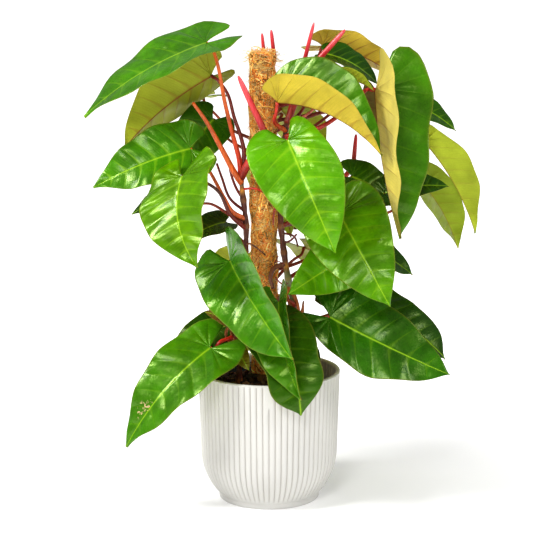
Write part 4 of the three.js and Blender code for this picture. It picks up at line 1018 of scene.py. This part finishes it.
# %% Aerial roots, dried sheaths and bare stalks
HUSK, DARK_HUSK = colour(176, 98, 46), colour(112, 62, 36)
STRANDS = [
    ("left", 486, ((-20, -24, 488), (-8, -24, 482)), 1.8, 1.4, BRIGHT_RED),
    ("left", 496, ((-51, -22, 510), (-72, -20, 549), (-95, -12, 589), (-115, -4, 616)), 5, 2.4, ORANGE),
    ("right", 336, ((16, -24, 344), (10, -22, 352)), 1.8, 1, ROOT),
    ("right", 470, ((8, -24, 455), (6, -22, 432)), 1.8, 1.2, ROOT),
    ("left", 250, ((-56, -34, 262), (-60, -30, 276)), 5, 1.2, SHEATH),
    ("left", 236, ((-50, -40, 244), (-54, -46, 262)), 5, 1.2, SHEATH),
    ("right", 290, ((50, -36, 300), (52, -40, 318)), 5, 1.2, SHEATH),
    ("right", 300, ((32, -36, 306), (30, -40, 322)), 5, 1.2, SHEATH),
    ("right", 376, ((26, -27, 372), (13, -26, 377), (8, -25, 373), (14, -24, 385)), 1.0, 0.7, ROOT * 0.6),
    ("right", 350, ((30, -28, 345), (18, -28, 338), (24, -28, 330), (36, -28, 324)), 1.0, 0.6, DARK_HUSK),
    ("right", 338, ((27, -33, 327), (31, -35, 312), (28, -36, 296)), 3.6, 1.6, HUSK),
    ("right", 334, ((38, -34, 326), (44, -38, 309), (46, -39, 290)), 3.8, 1.8, HUSK),
    ("right", 318, ((40, -36, 300), (50, -40, 282)), 2.4, 2.0, BRIGHT_RED),
    ("right", 404, ((32, -22, 408), (42, -20, 418)), 1.8, 1.4, DARK_RED),
    ("right", 420, ((38, -18, 414), (44, -16, 398)), 1.7, 1.3, DARK_RED),
    ("right", 372, ((8, -21, 366), (2, -21, 352), (6, -22, 334)), 4.2, 2.6, DARK_HUSK),
    ("right", 330, ((16, -28, 322), (12, -30, 300), (10, -31, 282)), 3.4, 2.4, DARK_HUSK),
    ("left", 282, ((-62, -30, 276), (-66, -33, 262), (-58, -34, 250)), 3.4, 1.6, HUSK),
    ("left", 272, ((-52, -36, 264), (-46, -39, 250), (-36, -40, 240)), 3.4, 1.6, DARK_HUSK),
    ("left", 400, ((-30, -24, 404), (-20, -22, 398), (-6, -20, 386)), 1.6, 1.0, DARK_HUSK),
    ("left", 470, ((-50, -4, 486), (-58, 6, 506), (-62, 10, 528)), 2.2, 1.8, DARK_RED),
    ("left", 452, ((-60, 0, 470), (-72, 8, 500), (-80, 12, 522)), 2.4, 1.8, DARK_RED),
    ("back", 470, ((30, 30, 480), (44, 14, 470), (40, 10, 420)), 2.6, 2.4, STEM_BROWN),
]
for stem, level, via, foot, end, tone in STRANDS:
    add_stalk(stem_heaps[stem], [on_stem(stem, level), *via], taper(foot, end), tone, tone)
print(len(STRANDS), "small growths")

# %% [markdown]
# A climbing stem thickens at every knot, and turns from green to brown in blotches. One could model the
# length between two knots and repeat it along a curve, but radius and colour can simply follow waves along
# the whole stem.

# %% The stems themselves
STEM_RADIUS, KNOT_SPACING, RINGED_AT = 5.2, 40, {"left": 484, "right": 370}


def knots(share, rise):
    """1 at the knots of a stem, -1 half-way between them."""
    return np.cos(2 * math.pi * share * rise / KNOT_SPACING)


for name, points in STEMS.items():
    rise = points[-1][2] - points[0][2]
    corners, faces, share = tube(
        points, lambda t: STEM_RADIUS * (1 - 0.2 * t + 0.18 * knots(t, rise) ** 3), 16, 2.5)
    knot = knots(share, rise) > 0.86
    blotch = smooth(np.sin(share * rise / 31 + 2), 0.2, 0.9)[:, None]
    tone = STEM_BROWN + (STEM_GREEN - STEM_BROWN) * blotch
    level = points[0][2] + share * rise
    ringed = np.exp(-((level - RINGED_AT.get(name, 0)) / 5) ** 2)[:, None]
    tone = np.where(knot[:, None], KNOT * 0.2 + tone * 0.8, tone)
    tone = KNOT * ringed + tone * (1 - ringed)
    stem_heaps[name].add(corners * MM, faces, tint=tone, along=np.stack([share, share, share], -1))
    print(name, "stem", rise, "mm high")

# %% [markdown]
# Stems and stalks have a thin waxy skin with fine streaks and pale corky spots. Painting them would need
# an unwrapped map for each. The streaks are noise stretched upward, the way most stalks run, over the
# colours kept at the corners.

# %% The skin of stems and stalks
def stalk_finish():
    f = Finish("waxy_stalk_skin", Specular_IOR_Level=0.5, Coat_Weight=0.15, Coat_Roughness=0.25)
    streak = f.noise(1, 4, 0.6, where=f.stretch((420, 420, 46)))
    body = f.tinted(f.read("tint"), f.varied(streak, 0.62, 1.4))
    spot = f.span(f.noise(520, 2), 0.62, 0.72)
    body = f.over(body, spot, 0.5, (0.42, 0.24, 0.09))
    rough = f.varied(f.noise(90, 3), 0.3, 0.52)
    return f.done(body, rough, f.bump(streak, 0.0006, 0.5, f.bump(f.noise(800, 3), 0.0002, 0.4)))


stalk_skin = stalk_finish()
for name, heap in stem_heaps.items():
    heap.make(f"climbing_stem_{name}", [stalk_skin], "stem", [f"stem_{name}"])

# %% [markdown]
# ## The rolled new leaves
# A new leaf comes out rolled up in a pink-red sheath. It is a tapering roll whose edge laps over itself,
# so the radius steps a little round the roll, and its colour runs from deep red at the foot to pink at
# the tip.

# %% Rolled leaves
def rolled_leaf(foot, tip, radius):
    """A tapering roll from foot to tip: corners in mm, faces, and how far along and round each corner is."""
    start, end = np.array(foot, float), np.array(tip, float)
    heading = unit(end - start)
    across = unit(np.cross(heading, [0.3, 1, 0.1]))
    over = np.cross(heading, across)
    rows, columns = 44, 28
    share = 1 - (1 - np.linspace(0, 1, rows)) ** 1.6
    t, a = np.meshgrid(share, around_axis(columns), indexing="ij")
    lap = (a / (2 * math.pi) + 0.35 * t) % 1
    size = radius * (1 - 0.3 * t) * np.sqrt(1 - 0.97 * t ** 10) * (0.9 + 0.12 * lap)
    middle = start + t[..., None] * (end - start)
    rings = middle + size[..., None] * (np.cos(a)[..., None] * across + np.sin(a)[..., None] * over)
    corners, faces = capped(rings, start, end)
    along = np.concatenate([t.ravel(), [0, 1]])
    return corners, faces, np.stack([along, np.concatenate([lap.ravel(), [0, 0]]), along], -1)


def sheath_finish():
    f = Finish("rolled_leaf_sheath", Specular_IOR_Level=0.5, Coat_Weight=0.3, Coat_Roughness=0.2)
    share, lap = f.read("along", 0), f.read("along", 1)
    body = f.ramp(share, (0.0, colour(150, 22, 30)), (0.5, colour(200, 36, 48)), (1.0, colour(215, 70, 80)))
    streak = f.noise(1, 3, 0.6, where=f.stretch((500, 500, 60)))
    body = f.mix(f.span(streak, 0.45, 0.7, 0.0, 0.25), body, colour(235, 130, 120))
    body = f.mix(f.span(lap, 0.9, 1.0, 0.0, 0.7), body, colour(150, 20, 30))
    rough = f.varied(f.noise(80), 0.28, 0.42)
    return f.done(body, rough, f.bump(streak, 0.0005, 0.5))


sheath = sheath_finish()
for name, spike in SPIKES.items():
    corners, faces, along = rolled_leaf(spike["foot"], spike["tip"], spike["radius"])
    make_piece(f"rolled_{name}", corners * MM, faces, [sheath], "new_leaf_sheath", [f"new_leaf_{name}"],
               along=along)
print(len(SPIKES), "rolled leaves of", len(corners), "corners each")

# %% [markdown]
# ## The coir pole
# A stick wrapped in coir: thousands of stiff golden-brown fibres lying round the pole, held by a thin
# pale thread. A bumpy sleeve gives the body, and real fibre strands give the ragged outline. Hair would
# be quicker to comb but is dropped by the export, so strands are meshes.

# %% The sleeve
POLE_FOOT, POLE_TOP = np.array([-5.0, 6, 30]), np.array([-10.0, 6, 694])
COIR_RADIUS, COIR_FROM, TIE = 21, 196, 668
SLEEVE_SIDES, INNER_RADIUS = 72, 12.6
THREAD, THREAD_PITCH = colour(226, 204, 160), 52


def pole_point(level, angle, radius):
    """A place at a level of the slightly leaning pole, in mm."""
    t = (level - POLE_FOOT[2]) / (POLE_TOP[2] - POLE_FOOT[2])
    centre = POLE_FOOT + np.asarray(t)[..., None] * (POLE_TOP - POLE_FOOT)
    return centre + np.stack([radius * np.cos(angle), radius * np.sin(angle), np.zeros_like(angle)], -1)


def coir_surface(level, angle):
    """How far the wrapped sleeve lies from the axis: lumps, and a waist where the thread ties the top."""
    lumps = 0.9 * np.sin(level / 11 + 3 * angle) + 0.6 * np.sin(level / 6.2 - 5 * angle + 1)
    waist = 1.8 * np.exp(-((level - TIE) / 5) ** 2)
    return COIR_RADIUS - 1.6 + lumps + 0.9 * np.sin(level / 23 + 2 * angle) - waist


sleeve_heap = Heap()
levels = np.concatenate([np.linspace(COIR_FROM, POLE_TOP[2] - 10, 150),
                         POLE_TOP[2] - np.array([8, 6, 4.5, 3.4])])
L, A = np.meshgrid(levels, around_axis(SLEEVE_SIDES), indexing="ij")
cap = np.sqrt(1 - np.clip((L - POLE_TOP[2] + 10) / 7, 0, 0.98) ** 2)
sleeve = pole_point(L, A, (coir_surface(L, A) - 0.5) * cap)
inner = pole_point(np.full_like(A[:1], COIR_FROM), A[:1], np.full_like(A[:1], INNER_RADIUS))
rings = np.concatenate([inner, sleeve])
top_point = pole_point(POLE_TOP[2] - 3, np.array([0.0]), 0.0)[0]
corners, (around, _, lid) = capped(rings * MM, top_point * MM, top_point * MM)
sleeve_heap.add(corners[:-1], [around, lid - [1, 0, 0]], tint=colour(236, 160, 92))
print(f"sleeve: {rings.shape[0]} rings of {SLEEVE_SIDES} corners")

# %% [markdown]
# The fibres lie close on the sleeve and mostly level, because coir is wound on. Each one is a three-sided
# strand of five points, at a seeded place. Every seventh is thick, which gives the matted look. About
# twelve hundred stand off the sides and the top. The thread is two helices in each direction, so that it
# crosses itself in diamonds, and a tight winding ties the top.

# %% The lying fibres
FIBRES, LOOSE, TOP_LOOSE, STRAWS = 9600, 700, 420, 110
GOLD, RUST, STRAW = colour(255, 188, 92), colour(226, 132, 56), colour(255, 224, 148)


def strand(heap, points, radius, tint):
    """A thin three-sided strand through the points, in mm."""
    tangent = unit(np.gradient(points, axis=0))
    across = unit(np.cross(tangent, [0.31, 0.2, 0.93]))
    over = np.cross(tangent, across)
    turn = around_axis(3)[:, None]
    rings = points[:, None] + radius * (np.cos(turn) * across[:, None] + np.sin(turn) * over[:, None])
    ends = [np.array([[0, 2, 1]]), np.array([[0, 1, 2]]) + 3 * (len(points) - 1)]
    heap.add(rings * MM, [grid_faces(len(points), 3, closed=True)] + ends, tint=tint)


under_fibres, thread = Heap(), Heap()
t = np.linspace(0, 1, 5)
for i in range(FIBRES):
    level, start = draw.uniform(COIR_FROM + 2, POLE_TOP[2] - 5), draw.uniform(0, 2 * math.pi)
    sweep, climb = draw.normal(0, 0.7), draw.normal(0, 15)
    height = np.clip(level + climb * t + 2.5 * np.sin(5 * t + start), COIR_FROM, POLE_TOP[2] - 3)
    out = coir_surface(height, start + sweep * t) + draw.uniform(-0.2, 0.6)
    out = out + draw.uniform(0, 0.9) * np.sin(math.pi * t)
    # a slow mottle of the fibre tone: partly varied tone, partly painted shade between the fibre mats
    shade_and_tone_mottle = 0.95 + 0.4 * math.sin(level / 5 + 2 * start) * math.sin(level / 13 - start)
    hue = GOLD if draw.uniform() < 0.5 else RUST if draw.uniform() < 0.45 else STRAW
    thick = i % 7 == 0
    strand(sleeve_heap if i % 2 else under_fibres, pole_point(height, start + sweep * t, out),
           draw.uniform(0.5, 1.0) if thick else draw.uniform(0.18, 0.42),
           hue * (draw.choice([0.3, 0.9, 1.3, 1.3]) if thick else draw.uniform(0.7, 1.2)) * shade_and_tone_mottle)
print(FIBRES, "lying fibres")

# %% Loose fibres and straws
for i in range(LOOSE):
    level, start = draw.uniform(COIR_FROM + 4, POLE_TOP[2]), draw.uniform(0, 2 * math.pi)
    out = COIR_RADIUS - 1.5 + draw.uniform(1, 6) * np.sin(draw.uniform(1.2, 3) * t)
    height = np.clip(level + draw.normal(0, 9) * t, COIR_FROM, POLE_TOP[2] + 9)
    strand(under_fibres, pole_point(height, start + draw.normal(0, 0.5) * t, out), draw.uniform(0.18, 0.34),
           STRAW * draw.uniform(0.6, 1.0))
for i in range(TOP_LOOSE):
    start, turn = draw.uniform(0, 2 * math.pi), draw.normal(0, 0.9)
    out = draw.uniform(2, 19) + abs(draw.normal(0, 3.5)) * t
    height = POLE_TOP[2] - draw.uniform(4, 24) + draw.uniform(1, 11) * np.sin(draw.uniform(1, 2.8) * t)
    strand(under_fibres, pole_point(height, start + turn * t, out), draw.uniform(0.2, 0.42),
           (GOLD if i % 3 else STRAW) * draw.uniform(0.7, 1.1))
for i in range(STRAWS):
    low = draw.uniform() < 0.4
    level = draw.uniform(COIR_FROM + 60, POLE_TOP[2] - 30) if low else POLE_TOP[2] - draw.uniform(2, 26)
    start, reach = draw.uniform(0, 2 * math.pi), draw.uniform(4, 11) if low else draw.uniform(5, 20)
    out = COIR_RADIUS - 3 + reach * t ** 1.3
    height = level + draw.uniform(-8, 8) * t + draw.uniform(-3, 5) * np.sin(math.pi * t)
    strand(under_fibres, pole_point(height, start + draw.normal(0, 0.45) * t, out), draw.uniform(0.25, 0.5),
           STRAW * draw.uniform(0.75, 1.0))
print(LOOSE + TOP_LOOSE + STRAWS, "loose ones")

# %% The binding thread, and the tie at the top
for way in (1, -1):
    for phase in (0, math.pi):
        height = np.linspace(COIR_FROM + 2, POLE_TOP[2] - 1, 520)
        winding = phase + way * height * 2 * math.pi / THREAD_PITCH
        strand(thread, pole_point(height, winding, coir_surface(height, winding) + 1.3), 0.22, THREAD)
height = np.linspace(TIE - 2.5, TIE + 3, 90)
winding = height * 2 * math.pi / 1.8
strand(thread, pole_point(height, winding, coir_surface(height, winding) + 1.2), 0.5, STRAW)
print("thread wound at a pitch of", THREAD_PITCH, "mm")

# %% [markdown]
# Coir is dry, dull and streaked, and the stick is pale wood with a straight grain. Both use noise that is
# stretched, across the pole for the coir and along it for the wood. Every fibre keeps its own tint at its
# corners, so that one material serves the sleeve, the fibres and the thread.

# %% Coir and wood
def coir_finish():
    f = Finish("golden_coir", Specular_IOR_Level=0.3)
    streak = f.noise(1, 4, 0.65, where=f.stretch((260, 260, 900)))
    body = f.tinted(f.read("tint"), f.varied(streak, 0.75, 1.5))
    rough = f.varied(f.noise(200), 0.7, 0.9)
    return f.done(body, rough, f.bump(streak, 0.0012, 0.8))


coir_skin = coir_finish()
sleeve_heap.make("coir_sleeve_and_fibres", [coir_skin], "coir", ["coir_wrap"])
under_fibres.make("coir_fibres", [coir_skin], "coir", ["coir_wrap"])
thread.make("binding_thread", [coir_skin], "coir", ["coir_wrap"])


def stick_finish():
    f = Finish("pale_stick_wood", Specular_IOR_Level=0.3)
    grain = f.noise(1, 5, 0.6, 0.4, f.stretch((300, 300, 12)))
    body = f.mix(grain, colour(120, 82, 48), colour(176, 134, 88))
    return f.done(body, f.varied(grain, 0.55, 0.75), f.bump(grain, 0.0008, 0.6))


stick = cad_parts["pole_core"]
stick.data.materials.clear()
stick.data.materials.append(stick_finish())
print("the stick keeps its packed form and gets", stick.data.materials[0].name)

# %% [markdown]
# ## The studio
# The photo is lit softly from the upper left, on white. A large soft key, two weaker lamps from the right
# and the front, and a faint light from all round give that. A picture of a studio round the scene would
# light it too, but lamps can be moved one by one. The camera sees the world as plain white, and a wide
# pale floor catches a faint shadow to the right of the pot. The floor also glows as painted light, weakly
# next to the pot and strongly far off, which paints shade round the pot and hides the floor's far edge.

# %% The floor
FLOOR_GLOW_NEAR, FLOOR_GLOW_FAR = 0.1, 0.82


def studio_floor():
    turn = around_axis(64)
    corners = np.stack([8 * np.cos(turn), 8 * np.sin(turn), np.zeros(len(turn))], -1)
    mesh = bpy.data.meshes.new("studio_floor")
    mesh.from_pydata(corners.tolist(), [], [list(range(len(turn)))])
    floor = bpy.data.objects.new("studio_floor", mesh)
    f = Finish("glowing_pale_floor", Specular_IOR_Level=0.2)
    white = f.mix(f.noise(3), (0.93, 0.93, 0.93), (0.95, 0.95, 0.95))
    f.put(f.shader.inputs["Emission Color"], white)
    away = f.node("VectorMath")
    away.operation = "LENGTH"
    f.put(away.inputs[0], f.where)
    # painted light: the floor glows, weakly next to the pot, so that it reads as shade there, and strongly far
    # off
    glow = f.span(away.outputs["Value"], 0.11, 1.0, FLOOR_GLOW_NEAR, FLOOR_GLOW_FAR)
    f.put(f.shader.inputs["Emission Strength"], glow)
    mesh.materials.append(f.done(white, f.varied(f.noise(5), 0.85, 0.95)))
    bpy.context.scene.collection.objects.link(floor)


studio_floor()
print("floor glow", FLOOR_GLOW_NEAR, "to", FLOOR_GLOW_FAR)


# %% Light and camera
def soft_light(name, place, aim, size, power):
    """A round lamp of a size in metres that looks at the aim."""
    light = bpy.data.lights.new(name, "AREA")
    light.shape, light.size, light.energy = "DISK", size, power
    lamp = bpy.data.objects.new(name, light)
    lamp.location = place
    direction = np.array(aim, float) - np.array(place, float)
    yaw, pitch = math.atan2(direction[1], direction[0]), math.atan2(direction[2], math.hypot(*direction[:2]))
    lamp.rotation_euler = (math.pi / 2 + pitch, 0, yaw - math.pi / 2)
    bpy.context.scene.collection.objects.link(lamp)


soft_light("key", (-1.75, -0.95, 2.3), (0, 0, 0.4), 0.9, 60)
soft_light("fill", (1.9, -1.2, 1.6), (0, 0, 0.4), 1.0, 18)
soft_light("front", (-0.5, -2.7, 2.1), (0, 0, 0.35), 0.9, 26)
ROOM_LIGHT = 0.3
world = bpy.data.worlds.new("white_room")
bpy.context.scene.world = world
world.use_nodes = True
room = world.node_tree.nodes["Background"]
room.inputs["Color"].default_value = (1, 1, 1, 1)
ray = world.node_tree.nodes.new("ShaderNodeLightPath")
level = world.node_tree.nodes.new("ShaderNodeMapRange")
level.inputs["To Min"].default_value, level.inputs["To Max"].default_value = ROOM_LIGHT, 1.0
world.node_tree.links.new(ray.outputs["Is Camera Ray"], level.inputs["Value"])
world.node_tree.links.new(level.outputs["Result"], room.inputs["Strength"])
bpy.context.scene.view_settings.view_transform = "Standard"
bpy.context.scene.view_settings.look = "Medium High Contrast"

lens = bpy.data.cameras.new("photo_camera")
lens.lens, lens.sensor_width = 119.55, 36
camera = bpy.data.objects.new("photo_camera", lens)
camera.location = (-0.004, -2.67, 0.87)
camera.rotation_euler = (math.radians(79.27), 0, 0)
bpy.context.scene.collection.objects.link(camera)
bpy.context.scene.camera = camera
print(len(bpy.data.lights), "lights, a lens of", round(lens.lens, 1), "mm")
